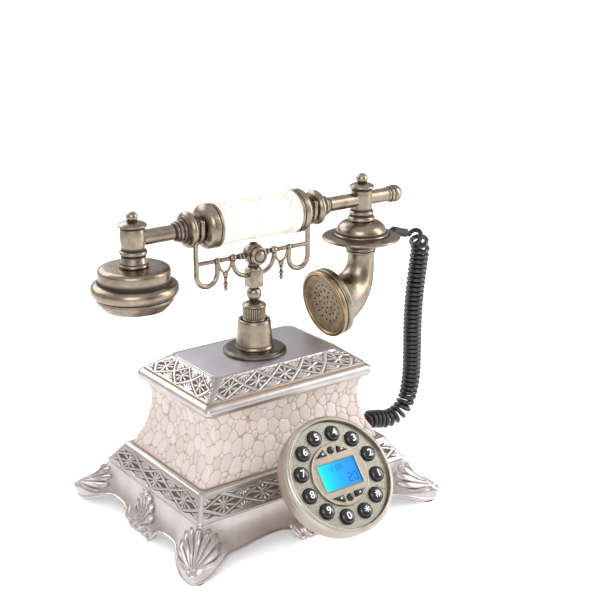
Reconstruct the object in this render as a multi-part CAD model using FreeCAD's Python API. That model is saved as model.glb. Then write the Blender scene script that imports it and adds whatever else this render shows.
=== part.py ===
"""Antique-style desk telephone with a push-button dial, a cradle and a bar handset.

Units are millimetres. Every piece is modelled with the middle of the base at x = y = 0 and
the table at z = 0, and is moved by FRAME_SHIFT when it is written, so that the written frame
has its origin at the bottom centre of the whole object. +X runs along the handset towards the
mouthpiece, +Y to the back and +Z up.
"""
import FreeCAD, Part
import math
import os

V = FreeCAD.Vector
X_AXIS = V(1, 0, 0)
Y_AXIS = V(0, 1, 0)
Z_AXIS = V(0, 0, 1)

# ---- driving dimensions ----
FRAME_SHIFT = V(-3.9, 19.12, 0)
WALL = 3.0                # cast walls of the base
GAP = 0.3                 # clearance between pieces of different bodies
FIT = 0.06                # radial clearance of a running fit

TOE_X = 92.6              # toe centres of the four feet
TOE_Y = 72.0
TOE_R = 8.5
PAD_R = 4.6
PAD_T = 1.5

APRON_Z = 8.5             # lower edge of the apron
LEDGE_Z = 43.4            # top of the plinth
PLINTH = [(APRON_Z, 90.5, 68.0), (13.0, 87.0, 64.2), (20.0, 84.4, 61.4),
          (28.6, 82.9, 59.7), (30.3, 82.4, 59.2), (LEDGE_Z, 74.1, 48.5)]
WAIST = [(LEDGE_Z, 70.5, 45.0), (49.0, 68.0, 43.8), (56.0, 64.0, 41.6), (65.0, 61.0, 39.8),
         (74.0, 59.3, 38.6), (81.0, 59.5, 38.8), (88.5, 61.5, 40.5)]
LID_TOP = 107.7
LID = [(88.5, 62.5, 41.6), (90.0, 65.0, 44.1), (92.7, 65.8, 44.9), (95.6, 64.6, 43.7),
       (97.0, 62.6, 41.7), (98.4, 61.8, 40.9), (106.2, 51.6, 30.3), (LID_TOP, 50.0, 28.7)]
CORNER_R = 3.5            # vertical corners of plinth, waist and lid

COVER_Z = 10.0            # underside of the bottom cover
COVER_T = 2.5
COVER_X = 82.0
COVER_Y = 58.0
BOARD_Z = 30.0
BOSS_H = 8.0

DIAL_TILT = 40.6          # the dial leans back this much from vertical
DIAL_Y = -93.7
DIAL_Z = 54.2
DIAL_R = 38.0
DIAL_DEPTH = 18.5
PLATE_Z = -1.5            # surface of the key plate, below the plane of the key middles
PLATE_T = 2.0
KEY_RING_R = 27.0
KEY_R = 4.9
KEY_TOP = 1.5
KEY_TRAVEL = 1.0
BEZEL_R = 20.0
WINDOW_X = 14.3
WINDOW_Y = 8.6
NECK_R = 16.0
NECK_UP = 8.0

POST_TOP = 130.3          # mouth of the cone that the cradle slides in
SHAFT_R = 3.4
SHAFT_END = 84.0
BAR_Z = 174.2
ROD_R = 1.55
HOOK_X = 43.5             # outer legs of the hooks, under the grooves of the handset
HOOK_INNER_X = 28.0
BEAD_X = 16.0
FINIAL_X = 21.8
FORK_TOP = 202.0

HANDSET_Z = 198.0
LEFT_X = -87.5            # axis of the earpiece post
RIGHT_X = 89.3            # axis of the mouthpiece post
GRIP_HALF = 30.0
GROOVE_R = 5.6
ARM_R = 4.8
ARM_END = 122.5
MOUTH_X = 56.5            # middle of the mouthpiece's front rim
MOUTH_Z = 128.5
MOUTH_R = 23.6
MOUTH_TILT = 8.9          # the mouthpiece looks this much below level

CORD_R = 7.0              # outside of the curly cord
JACK_Y = 10.0
JACK_Z = 27.0
JACK_X = 83.4
# Middle line of the curly cord, from the base plug to the handset plug.
CORD_ROUTE = [(97.0, 10.0, 27.0), (110.0, 10.0, 27.0), (126.5, 10.0, 21.5), (141.0, 9.0, 28.5),
              (146.0, 8.0, 48.0), (144.5, 6.0, 72.0), (142.0, 4.0, 97.0), (141.5, 2.0, 122.0),
              (143.5, 1.0, 144.0), (144.5, 0.0, 156.5), (139.0, 0.0, 165.17),
              (130.0, 0.0, 167.5)]

FACE = V(0, -math.cos(math.radians(DIAL_TILT)), math.sin(math.radians(DIAL_TILT)))
RISE = V(0, math.sin(math.radians(DIAL_TILT)), math.cos(math.radians(DIAL_TILT)))
DIAL_CENTRE = V(0, DIAL_Y, DIAL_Z)
MOUTH_BACK = V(math.cos(math.radians(MOUTH_TILT)), 0, math.sin(math.radians(MOUTH_TILT)))

# The digit keys in order round the dial, by their angle clockwise from the top.
DIGITS = ["4", "3", "2", "1", "hash", "star", "0", "9", "8", "7", "6", "5"]
FIRST_DIGIT = 15.0
# Outlines of the function keys on the dial, and the two round ones between them.
WEDGES = {"redial": [(-12.2, 13.4), (-4.2, 13.4), (-5.4, 17.4)],
          "down": [(4.2, 13.4), (12.2, 13.4), (5.4, 17.4)],
          "delete": [(-4.0, -13.2), (-12.0, -13.2), (-4.8, -17.4)],
          "flash": [(12.6, -13.0), (4.6, -13.0), (4.2, -16.4), (8.8, -15.8)]}
ROUNDS = {"up": (0.2, 15.9), "call": (0.2, -15.6)}
ROUND_R = 2.2


# ---- shared shapes ----
def box(x0, x1, y0, y1, z0, z1):
    """A block between two corners."""
    return Part.makeBox(x1 - x0, y1 - y0, z1 - z0, V(x0, y0, z0))


def rod(start, end, radius):
    """A round bar between two points."""
    return Part.makeCylinder(radius, (end - start).Length, start, end - start)


def turned(outline, base=V(0, 0, 0), axis=Z_AXIS):
    """A turned solid: the closed (radius, height) outline swept round an axis."""
    points = [V(r, 0, h) for r, h in outline]
    face = Part.Face(Part.makePolygon(points + points[:1]))
    solid = face.revolve(V(0, 0, 0), Z_AXIS, 360)
    turn = FreeCAD.Rotation(Z_AXIS, axis)
    solid.Placement = FreeCAD.Placement(base, turn)
    return solid


def rectangle(half_x, half_y, corner, z):
    """A level rectangle with round corners, as a wire."""
    edges = []
    spots = [(1, 1, 0), (-1, 1, 90), (-1, -1, 180), (1, -1, 270)]
    for side_x, side_y, start in spots:
        middle = V(side_x * (half_x - corner), side_y * (half_y - corner), z)
        edges.append(Part.makeCircle(corner, middle, Z_AXIS, start, start + 90))
    wire = []
    for index, arc in enumerate(edges):
        following = edges[(index + 1) % len(edges)]
        wire.append(arc)
        wire.append(Part.makeLine(arc.lastVertex().Point, following.firstVertex().Point))
    return Part.Wire(wire)


def stack(sections, corner=CORNER_R, inset=0.0):
    """A tapered block through rounded rectangles, each (height, half x, half y)."""
    radius = max(corner - inset, 0.6)
    wires = [rectangle(x - inset, y - inset, radius, z) for z, x, y in sections]
    return Part.makeLoft(wires, True, True)


def on_dial(shape):
    """Moves a piece from the dial's own frame (x right, y up the face, z out) to its place."""
    turn = FreeCAD.Rotation(X_AXIS, 90 - DIAL_TILT)
    shape.Placement = FreeCAD.Placement(DIAL_CENTRE, turn).multiply(shape.Placement)
    return shape


def digit_place(index):
    """Where a digit key sits in the dial's frame."""
    angle = math.radians(FIRST_DIGIT + 30 * index)
    return V(KEY_RING_R * math.sin(angle), KEY_RING_R * math.cos(angle), 0)


def plate(points, z0, z1):
    """A flat plate with a straight-sided outline."""
    corners = [V(x, y, z0) for x, y in points]
    return Part.Face(Part.makePolygon(corners + corners[:1])).extrude(V(0, 0, z1 - z0))


def grown(points, margin):
    """The outline moved outwards from its middle by about the margin."""
    middle_x = sum(x for x, y in points) / len(points)
    middle_y = sum(y for x, y in points) / len(points)
    result = []
    for x, y in points:
        length = math.hypot(x - middle_x, y - middle_y)
        scale = (length + 2.0 * margin) / length
        result.append((middle_x + (x - middle_x) * scale, middle_y + (y - middle_y) * scale))
    return result


def neck_core(radius, start, end):
    """The round neck between dial and plinth, by its distance behind the dial."""
    base = V(0, NECK_UP, -start)
    return on_dial(Part.makeCylinder(radius, end - start, base, V(0, 0, -1)))


# ---- base ----
def foot(side_x, side_y):
    """One corner foot: a leg that sweeps out to a round toe."""
    spots = [(80.0, 57.0, 22.0, 9.0), (84.5, 62.0, 13.0, 8.0), (90.0, 69.0, 5.0, 6.5)]
    rings = [Part.Wire(Part.makeCircle(r, V(side_x * x, side_y * y, z))) for x, y, z, r in spots]
    leg = Part.makeLoft(rings, True, True)
    toe = Part.makeSphere(TOE_R, V(side_x * TOE_X, side_y * TOE_Y, TOE_R))
    return leg.fuse(toe)


def plinth():
    """The lower casting: frieze, apron, four feet and a shell ornament on each side."""
    body = stack(PLINTH)
    for side_x in (-1, 1):
        for side_y in (-1, 1):
            body = body.fuse(foot(side_x, side_y))
    for side in (-1, 1):
        long_side = Part.makeCylinder(15.0, 5.0, V(0, side * 62.0, 16.6), V(0, side, 0))
        short_side = Part.makeCylinder(15.0, 5.0, V(side * 84.5, 0, 16.6), V(side, 0, 0))
        body = body.fuse(long_side).fuse(short_side)
    inner = [(z, x, y) for z, x, y in PLINTH if z < LEDGE_Z]
    inner = [(0.0, 90.5, 68.0)] + inner + [(LEDGE_Z - WALL, 76.5, 51.5)]
    body = body.cut(stack(inner, inset=WALL))
    body = body.cut(box(-52, 52, -30, 30, 30, 50))
    body = body.cut(box(-120, 120, -120, 120, -5, PAD_T))
    body = body.cut(neck_core(NECK_R, 15, 60))
    body = body.cut(box(70, 92, JACK_Y - 6.0, JACK_Y + 6.0, JACK_Z - 6.0, JACK_Z + 6.0))
    body = body.cut(box(13, 27, 52, 72, 16, 28))
    body = body.cut(box(-48, -32, 52, 72, 20, 24))
    for x, y in cover_corners():
        body = body.fuse(screw_boss(x, y))
    return body


def screw_boss(x, y):
    """A hollow post that takes a cover screw, with a web to the side wall."""
    low = COVER_Z + COVER_T
    wall_x = x * 1.1
    web = box(min(x, wall_x), max(x, wall_x), y - 1.5, y + 1.5, low, low + BOSS_H)
    post = Part.makeCylinder(4.0, BOSS_H, V(x, y, low)).fuse(web)
    return post.cut(Part.makeCylinder(1.5, BOSS_H, V(x, y, low)))


def cover_corners():
    """Where the screws of the bottom cover sit."""
    return [(sx * 74.0, sy * 50.0) for sx in (-1, 1) for sy in (-1, 1)]


def waist():
    """The concave middle shell that carries the pebble relief."""
    shell = stack(WAIST)
    shell = shell.cut(stack([(LEDGE_Z - 1, 70.5, 45.0)] + WAIST[1:-1] + [(90.0, 61.9, 40.9)],
                            inset=WALL))
    return shell.cut(neck_core(NECK_R, 15, 60))


def lid():
    """The upper casting: round lip, sloping frieze and flat top panel."""
    shell = stack(LID)
    inner = [(88.0, 60.0, 39.1), (96.0, 60.0, 39.1), (LID_TOP - WALL, 50.5, 29.2)]
    shell = shell.cut(stack(inner, inset=0.5))
    return shell.cut(Part.makeCylinder(5.2, 20, V(0, 0, LID_TOP - 15)))


def bottom_cover():
    """The moulded plate that closes the base, with its battery well and board posts."""
    body = stack([(COVER_Z, COVER_X, COVER_Y), (COVER_Z + COVER_T, COVER_X, COVER_Y)])
    top = COVER_Z + COVER_T
    well = box(-60, -20, -26, 26, top, 26.5).cut(box(-58, -22, -24, 24, 0, 24.5))
    body = body.cut(box(-58, -22, -24, 24, 0, 24.5)).fuse(well)
    for x, y in board_corners():
        body = body.fuse(Part.makeCylinder(3.0, BOARD_Z - top, V(x, y, top)))
    for x, y in cover_corners():
        body = body.cut(Part.makeCylinder(1.9, 10, V(x, y, 5)))
    for x in (25.0, 35.0, 45.0, 55.0):
        body = body.cut(box(x - 1.2, x + 1.2, -12, 12, 0, top))
    return body


def board_corners():
    """Where the main board stands on its posts."""
    return [(0.0, -26.0), (0.0, 26.0), (66.0, -26.0), (66.0, 26.0)]


def foot_pads():
    """Four rubber discs under the toes."""
    spots = [V(sx * TOE_X, sy * TOE_Y, 0) for sx in (-1, 1) for sy in (-1, 1)]
    return Part.makeCompound([Part.makeCylinder(PAD_R, PAD_T, spot) for spot in spots])


def fasteners():
    """Four cover screws and the hexagon nut that clamps the post to the lid."""
    pieces = []
    for x, y in cover_corners():
        head = Part.makeCylinder(3.2, 1.8, V(x, y, COVER_Z - 1.8))
        head = head.cut(box(x - 2.2, x + 2.2, y - 0.4, y + 0.4, COVER_Z - 2.0, COVER_Z - 1.0))
        pieces.append(head.fuse(Part.makeCylinder(1.45, 8.0, V(x, y, COVER_Z))))
    corners = [(9 * math.cos(math.radians(60 * k)), 9 * math.sin(math.radians(60 * k)))
               for k in range(6)]
    nut = plate(corners, LID_TOP - WALL - 4.0, LID_TOP - WALL)
    pieces.append(nut.cut(Part.makeCylinder(5.0, 10, V(0, 0, LID_TOP - WALL - 6))))
    return Part.makeCompound(pieces)


def post_flange():
    """The washer under the post."""
    outline = [(5.2, LID_TOP), (21.0, LID_TOP), (21.0, 109.6), (20.0, 110.6), (5.2, 110.6)]
    return turned(outline)


def post_socket():
    """The cone that guides the cradle, with its threaded tube through the lid."""
    outline = [(SHAFT_R + FIT, 99.0), (5.0, 99.0), (5.0, 110.6), (12.9, 110.6), (12.9, 111.4),
               (12.4, 112.2), (10.9, 129.6), (10.5, POST_TOP), (8.7, POST_TOP), (8.7, 113.0),
               (SHAFT_R + FIT, 113.0)]
    return turned(outline)


def ringer():
    """The round sounder on the bottom cover."""
    disc = Part.makeCylinder(16.0, 5.0, V(40, 0, COVER_Z + COVER_T))
    return disc.fuse(Part.makeCylinder(7.0, 2.5, V(40, 0, COVER_Z + COVER_T + 5.0)))


def main_board():
    """The line and ringing circuit board with its large components."""
    board = box(-4, 70, -30, 30, BOARD_Z, BOARD_Z + 1.6)
    parts = [(8, 22, -20, -8, 6.0), (30, 38, -22, -10, 4.5), (46, 60, -6, 8, 3.0),
             (10, 20, 8, 20, 2.2), (30, 36, 12, 22, 5.0)]
    for x0, x1, y0, y1, height in parts:
        board = board.fuse(box(x0, x1, y0, y1, BOARD_Z + 1.6, BOARD_Z + 1.6 + height))
    return board


def battery_pack():
    """Three AAA cells side by side."""
    cells = []
    for x in (-51.0, -40.0, -29.0):
        can = Part.makeCylinder(5.2, 43.0, V(x, -22.2, 18.4), Y_AXIS)
        cells.append(can.fuse(Part.makeCylinder(1.9, 1.2, V(x, 20.8, 18.4), Y_AXIS)))
    return Part.makeCompound(cells)


def battery_door():
    """The door that slides under the bottom cover."""
    top = COVER_Z - GAP
    door = box(-62, -18, -27, 27, top - 2.0, top)
    for y in (-20, -17, -14):
        door = door.cut(box(-46, -34, y, y + 1.2, top - 2.5, top - 1.4))
    return door


def jack(width, height, depth):
    """A modular socket that opens towards +X, with its front face at x = 0."""
    body = box(-depth, 0, -width / 2, width / 2, -height / 2, height / 2)
    body = body.cut(box(-depth + 2.0, 1, -width / 2 + 1.6, width / 2 - 1.6, -2.6, 2.6))
    return body.cut(box(-depth + 2.0, 1, -1.6, 1.6, -4.2, 2.6))


def modular_jacks():
    """The cord socket on the right and the line socket at the back."""
    cord_socket = jack(12.0, 12.0, 13.4)
    cord_socket.translate(V(JACK_X, JACK_Y, JACK_Z))
    line_socket = jack(14.0, 12.0, 14.0)
    line_socket.rotate(V(0, 0, 0), Z_AXIS, 90)
    line_socket.translate(V(20, 61.0, 22))
    return Part.makeCompound([cord_socket, line_socket])


def ringer_switch():
    """The ringer volume slider in the back of the plinth."""
    knob = box(-43.0, -37.0, 53.0, 64.6, 20.5, 23.5)
    for x in (-42.0, -40.2, -38.4):
        knob = knob.cut(box(x, x + 0.6, 64.0, 65, 20, 24))
    return knob


def hook_switch():
    """The microswitch and the bracket that hangs it and the lever from the lid."""
    body = box(9, 29, -3.2, 3.2, 87.2, 97.2)
    bracket = box(10, 31, 3.2, 4.7, 78.5, LID_TOP - WALL)
    bracket = bracket.fuse(box(11, 31, -6.0, 4.7, LID_TOP - WALL - 1.5, LID_TOP - WALL))
    bracket = bracket.cut(Part.makeCylinder(1.0 + FIT, 4, V(22, 2, 82.2), Y_AXIS))
    return body.fuse(bracket)


def hook_lever():
    """The lever that the cradle's shaft holds down."""
    bar = box(-4, 25, -2.5, 2.5, 81.0, SHAFT_END - GAP)
    return bar.fuse(Part.makeCylinder(1.0, 7.5, V(22, -2.5, 82.2), Y_AXIS))


# ---- dial ----
def dial_housing():
    """The drum behind the dial and the neck that joins it to the plinth."""
    outline = [(0, -DIAL_DEPTH), (31.5, -DIAL_DEPTH), (34.6, -17.4), (37.0, -15.0),
               (DIAL_R, -12.4), (DIAL_R, -3.5), (35.2, -3.5), (35.2, -12.5), (33.0, -15.7),
               (0, -15.7)]
    drum = on_dial(turned(outline))
    shell = drum.fuse(neck_core(NECK_R, DIAL_DEPTH - 1, 46))
    return shell.cut(neck_core(NECK_R - 2.5, DIAL_DEPTH - 5, 47))


def dial_rim():
    """The bright ring round the dial."""
    outline = [(34.8, -3.5), (DIAL_R, -3.5), (38.5, -3.0), (38.5, -0.8), (37.9, 0.5),
               (36.7, 1.2), (35.5, 0.7), (34.8, -0.4)]
    return on_dial(turned(outline))


def key_plate():
    """The textured plate that the keys come through."""
    disc = Part.makeCylinder(34.7, PLATE_T, V(0, 0, PLATE_Z - PLATE_T))
    for index in range(len(DIGITS)):
        spot = digit_place(index) + V(0, 0, PLATE_Z - PLATE_T - 1)
        disc = disc.cut(Part.makeCylinder(KEY_R + GAP, PLATE_T + 2, spot))
    return on_dial(disc.cut(Part.makeCylinder(18.6, PLATE_T + 2, V(0, 0, PLATE_Z - PLATE_T - 1))))


def display_bezel():
    """The raised middle of the dial with the display window and the function keys' holes."""
    top = -0.3
    disc = turned([(0, -3.5), (18.5, -3.5), (18.5, PLATE_Z), (BEZEL_R, PLATE_Z),
                   (BEZEL_R, -0.9), (19.4, top), (0, top)])
    disc = disc.cut(box(-WINDOW_X, WINDOW_X, -WINDOW_Y, WINDOW_Y, -5, 1))
    for outline in WEDGES.values():
        disc = disc.cut(plate(grown(outline, GAP), -5, 1))
    for x, y in ROUNDS.values():
        disc = disc.cut(Part.makeCylinder(ROUND_R + GAP, 6, V(x, y, -5)))
    return on_dial(disc)


def display_panel():
    """The liquid-crystal display with its window pane."""
    pane = box(-WINDOW_X, WINDOW_X, -WINDOW_Y, WINDOW_Y, -3.5, -1.1)
    return on_dial(pane.fuse(box(-15.6, 15.6, -9.8, 9.8, -7.0, -3.5)))


def keypad_board():
    """The board behind the keys, with a rubber dome under each key."""
    board = Part.makeCylinder(33.0, 1.6, V(0, 0, -11.2))
    spots = [digit_place(index) for index in range(len(DIGITS))]
    spots += [V(x, y, 0) for x, y in ROUNDS.values()]
    spots += [middle(outline) for outline in WEDGES.values()]
    for spot in spots:
        board = board.fuse(Part.makeCylinder(1.8, 1.2, spot + V(0, 0, -9.6)))
    return on_dial(board)


def middle(outline):
    """The middle of an outline's corners."""
    x = sum(point[0] for point in outline) / len(outline)
    y = sum(point[1] for point in outline) / len(outline)
    return V(x, y, 0)


def digit_key(index):
    """One domed key with its flange and stem."""
    outline = [(0, -7.1), (2.0, -7.1), (2.0, -4.9), (5.8, -4.9), (5.8, -3.8), (KEY_R, -3.8),
               (KEY_R, -0.6), (4.5, 0.3), (3.6, 0.95), (2.2, 1.35), (0, KEY_TOP)]
    return on_dial(turned(outline, digit_place(index)))


def wedge_key(outline):
    """One wedge-shaped function key."""
    key = plate(outline, -3.8, 0.5)
    key = key.fuse(plate(grown(outline, 0.55), -4.9, -3.8))
    return on_dial(key.fuse(Part.makeCylinder(1.3, 2.4, middle(outline) + V(0, 0, -7.1))))


def round_key(x, y):
    """One round function key."""
    outline = [(0, -7.1), (1.3, -7.1), (1.3, -4.9), (2.8, -4.9), (2.8, -3.8), (ROUND_R, -3.8),
               (ROUND_R, 0.2), (1.7, 0.7), (0, 0.9)]
    return on_dial(turned(outline, V(x, y, 0)))


# ---- cradle ----
def cradle_stem():
    """The shaft, the knurled collar, the ball neck and the square block on top."""
    outline = [(0, SHAFT_END), (SHAFT_R, SHAFT_END), (SHAFT_R, 122.6), (8.1, 122.6),
               (8.1, 139.8), (7.0, 140.2), (7.0, 141.0), (2.9, 141.6), (2.9, 142.9)]
    ball_r = 4.8
    ball_z = 147.3
    for step in range(-60, 61, 15):
        angle = math.radians(step)
        outline.append((ball_r * math.cos(angle), ball_z + ball_r * math.sin(angle)))
    outline += [(2.4, 151.6), (0, 151.6)]
    stem = turned(outline)
    block = box(-6.2, 6.2, -4.6, 4.6, 151.6, 164.4)
    point = Part.makeLoft([Part.makePolygon([V(-6.2, -4.6, 151.6), V(6.2, -4.6, 151.6),
                                             V(6.2, -4.6, 164.4), V(-6.2, -4.6, 164.4),
                                             V(-6.2, -4.6, 151.6)]),
                           Part.Vertex(V(0, -6.6, 158.0))], True, True)
    return stem.fuse(block).fuse(point)


def cradle_bar():
    """The hub with its front medallion, and the cross bar with its rings and beads."""
    bar = rod(V(-HOOK_X + ROD_R + 0.02, 0, BAR_Z), V(HOOK_X - ROD_R - 0.02, 0, BAR_Z), 1.45)
    bar = bar.fuse(Part.makeSphere(7.2, V(0, 0, BAR_Z)))
    bar = bar.fuse(turned([(0, 164.4), (3.8, 164.4), (3.2, 168.5), (0, 168.5)]))
    bar = bar.fuse(Part.makeCylinder(5.7, 2.6, V(0, -5.6, BAR_Z), V(0, -1, 0)))
    for side in (-1, 1):
        for x in (8.0, 10.2):
            ring = Part.makeCylinder(2.2, 1.0, V(side * x, 0, BAR_Z), V(side, 0, 0))
            bar = bar.fuse(ring)
        bar = bar.fuse(Part.makeSphere(2.5, V(side * BEAD_X, 0, BAR_Z)))
    return bar


def bent(points, radius):
    """A round bar along straight lines and three-point arcs, each arc given by 3 points."""
    edges = []
    for item in points:
        if len(item) == 2:
            edges.append(Part.makeLine(item[0], item[1]))
        else:
            edges.append(Part.Arc(item[0], item[1], item[2]).toShape())
    wire = Part.Wire(edges)
    start = edges[0].firstVertex().Point
    direction = edges[0].tangentAt(edges[0].FirstParameter)
    circle = Part.Wire(Part.makeCircle(radius, start, direction))
    return wire.makePipeShell([circle], True, False)


def fork():
    """The yoke that holds the handset, seen along X, at x = 0."""
    seat = GROOVE_R + GAP
    outer = [(-1.6, 182.5), (1.6, 182.5), (5.6, 186.2), (8.9, 191.6), (8.9, FORK_TOP),
             (seat, FORK_TOP), (seat, HANDSET_Z)]
    other = [(-y, z) for y, z in reversed(outer[2:])]
    points = [V(-1.5, y, z) for y, z in outer + other]
    blank = Part.Face(Part.makePolygon(points + points[:1])).extrude(V(3, 0, 0))
    blank = blank.cut(Part.makeCylinder(seat, 6, V(-3, 0, HANDSET_Z), X_AXIS))
    return blank


def hook(side):
    """One hook of the cradle: U rod, fork, curved brace and the small hanging finial."""
    mid = (HOOK_X + HOOK_INNER_X) / 2
    bend = (HOOK_X - HOOK_INNER_X) / 2
    low = 158.5 + bend
    path = [(V(HOOK_X, 0, 183.0), V(HOOK_X, 0, low)),
            (V(HOOK_X, 0, low), V(mid, 0, low - bend), V(HOOK_INNER_X, 0, low)),
            (V(HOOK_INNER_X, 0, low), V(HOOK_INNER_X, 0, BAR_Z - 1.45))]
    solid = bent(path, ROD_R)
    yoke = fork()
    yoke.translate(V(HOOK_X, 0, 0))
    solid = solid.fuse(yoke)
    solid = solid.fuse(Part.makeSphere(1.9, V(HOOK_INNER_X, 0, BAR_Z)))
    reach = BEAD_X - 6.2
    slant = math.sqrt(0.5)
    brace = bent([(V(BEAD_X, 0, BAR_Z), V(BEAD_X, 0, 171.0)),
                  (V(BEAD_X, 0, 171.0),
                   V(6.2 + reach * slant, 0, 171.0 - reach * slant),
                   V(6.2, 0, 171.0 - reach))], 1.5)
    solid = solid.fuse(brace)
    for x in (BEAD_X, HOOK_INNER_X):
        solid = solid.fuse(rod(V(x, 0, 170.0), V(FINIAL_X, 0, 165.0), 0.8))
    finial = turned([(0, 153.0), (0.9, 153.6), (1.5, 154.8), (1.2, 155.9), (0.8, 156.4),
                     (1.7, 157.4), (1.7, 158.4), (0.9, 159.2), (1.0, 162.6), (1.9, 163.6),
                     (1.9, 165.0), (1.0, 166.0), (0, 166.0)], V(FINIAL_X, 0, 0))
    solid = solid.fuse(finial)
    solid = solid.mirror(V(0, 0, 0), X_AXIS).cut(cradle_bar())
    return solid.mirror(V(0, 0, 0), X_AXIS) if side > 0 else solid


def plunger_spring():
    """The spring that lifts the cradle when the handset is taken off."""
    turns = 5
    height = 8.2
    helix = Part.makeHelix(height / turns, height, 6.0)
    wire = Part.Wire(Part.makeCircle(0.5, V(6.0, 0, 0), Y_AXIS))
    coil = Part.Wire(helix).makePipeShell([wire], True, True)
    coil.translate(V(0, 0, 113.6))
    return coil


# ---- handset ----
def along_x(outline, side):
    """A turned piece on the handset's axis: (radius, distance from the middle) points."""
    return turned(outline, V(0, 0, HANDSET_Z), V(side, 0, 0))


def grip():
    """The cast resin grip, with a spigot left open for the wires."""
    half = [(13.6, 0), (13.4, 14.0), (13.6, 22.0), (14.2, 27.0), (14.4, GRIP_HALF)]
    mirrored = [(r, -h) for r, h in reversed(half[1:])]
    return along_x([(4.0, -GRIP_HALF)] + mirrored + half + [(4.0, GRIP_HALF)], 1)


def arm_outline(end):
    """Ferrule, groove, large ring, flare and tube, out to the given distance."""
    return [(3.2, GRIP_HALF), (14.3, GRIP_HALF), (14.3, 36.4), (13.4, 38.2), (10.8, 40.0),
            (GROOVE_R, 40.9), (GROOVE_R, 45.9), (9.6, 46.4), (11.3, 47.4), (11.7, 49.0),
            (11.3, 50.6), (9.6, 51.8), (7.6, 52.6), (6.2, 54.6), (6.4, 55.4), (6.4, 56.6),
            (5.6, 57.0), (5.9, 57.8), (5.6, 58.8), (ARM_R, 59.2), (ARM_R, end), (3.2, end)]


def left_arm():
    """The tube from the grip to the earpiece post."""
    return along_x(arm_outline(-LEFT_X), -1).cut(left_post())


def right_arm():
    """The tube from the grip through the mouthpiece post, with its end knob."""
    tube = along_x(arm_outline(112.0), 1)
    knob = along_x([(0, 111.0), (ARM_R, 111.0), (ARM_R, 112.6), (5.7, 113.2), (5.9, 114.4),
                    (5.5, 115.2), (5.9, 116.0), (6.0, 118.6), (5.2, 120.8), (3.4, 122.1),
                    (0, ARM_END)], 1)
    return tube.fuse(knob).cut(right_post())


def left_post():
    """The post above the earpiece, with its cap and ball."""
    outline = [(0, 180.8), (8.2, 180.8), (9.2, 182.4), (7.6, 188.6), (8.4, 189.6), (8.45, 191.0),
               (7.1, 192.0), (7.8, 200.0), (7.6, 205.6), (8.8, 206.4), (8.8, 207.4),
               (6.4, 208.8), (2.6, 209.4), (3.3, 210.6), (3.6, 212.0), (2.9, 214.0),
               (1.4, 215.1), (0, 215.4)]
    return turned(outline, V(LEFT_X, 0, 0))


def right_post():
    """The post above the mouthpiece, with its cap and ball."""
    outline = [(0, 183.4), (8.8, 183.4), (9.2, 185.0), (8.8, 187.0), (7.9, 187.8), (8.2, 189.6),
               (8.0, 190.8), (7.1, 191.6), (7.3, 200.0), (7.2, 205.6), (8.3, 206.4),
               (8.3, 207.4), (6.2, 208.8), (2.8, 209.4), (3.6, 210.4), (4.0, 212.0),
               (3.3, 214.2), (1.6, 215.5), (0, 215.8)]
    return turned(outline, V(RIGHT_X, 0, 0))


def earpiece_shell():
    """The stepped metal bell of the earpiece."""
    outline = [(0, 180.8), (18.6, 180.8), (21.2, 179.8), (22.3, 177.6), (22.3, 171.6),
               (24.4, 171.2), (26.4, 169.6), (27.2, 167.2), (26.6, 164.9), (24.9, 163.2),
               (21.5, 162.6), (21.5, 168.0), (19.8, 171.0), (19.8, 176.4), (17.6, 178.2),
               (0, 178.2)]
    return turned(outline, V(LEFT_X, 0, 0))


def earpiece_cap():
    """The screw-on cap of the earpiece, with its sound holes."""
    outline = [(0, 157.2), (0, 158.8), (15.0, 159.6), (17.6, 162.6), (21.5, 162.6),
               (24.0, 162.4), (24.2, 161.0), (22.8, 158.6), (20.0, 155.3), (17.4, 155.3),
               (14.0, 156.4)]
    cap = turned(outline, V(LEFT_X, 0, 0))
    for x, y in hole_places(11.0, 3):
        cap = cap.cut(Part.makeCylinder(0.8, 8, V(LEFT_X + x, y, 153)))
    return cap


def hole_places(radius, rings):
    """Sound holes: one in the middle and rings of 6, 12 and so on round it."""
    places = [(0.0, 0.0)]
    for ring in range(1, rings + 1):
        for step in range(6 * ring):
            angle = math.radians(60.0 * step / ring + 10.0 * ring)
            reach = radius * ring / rings
            places.append((reach * math.cos(angle), reach * math.sin(angle)))
    return places


def handset_capsules():
    """The receiver capsule in the earpiece and the microphone capsule in the mouthpiece."""
    receiver = turned([(0, 163.4), (17.0, 163.4), (17.0, 169.0), (9.0, 170.0), (9.0, 174.0),
                       (0, 174.0)], V(LEFT_X, 0, 0))
    start = V(MOUTH_X, 0, MOUTH_Z) + MOUTH_BACK * 6.0
    microphone = Part.makeCylinder(9.0, 5.0, start, MOUTH_BACK)
    return Part.makeCompound([receiver, microphone])


def saucer():
    """The spun dome, step and saucer above the mouthpiece horn."""
    outline = [(0, 183.4), (8.6, 183.4), (12.6, 182.0), (15.8, 179.4), (17.0, 176.6),
               (17.2, 175.0), (18.6, 174.6), (18.6, 173.4), (22.0, 173.0), (26.4, 172.4),
               (27.1, 171.4), (26.2, 170.2), (20.0, 168.4), (12.0, 166.2), (9.9, 164.6),
               (9.9, 163.6), (0, 163.6)]
    return turned(outline, V(RIGHT_X, 0, 0))


def horn_sections(shrink):
    """Circles down the horn, from the saucer's neck to the back of the mouthpiece."""
    spots = [(89.3, 163.6, 9.9, 0), (89.3, 157.0, 9.3, 0), (88.6, 149.5, 9.8, 6),
             (86.3, 142.2, 11.4, 24), (81.4, 136.0, 13.8, 46), (74.4, 131.9, 16.9, 68),
             (66.4, 130.0, 20.0, 81.1)]
    wires = []
    for x, z, radius, turn in spots:
        angle = math.radians(turn)
        axis = V(-math.sin(angle), 0, -math.cos(angle))
        wires.append(Part.Wire(Part.makeCircle(radius - shrink, V(x, 0, z), axis)))
    return wires


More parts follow.
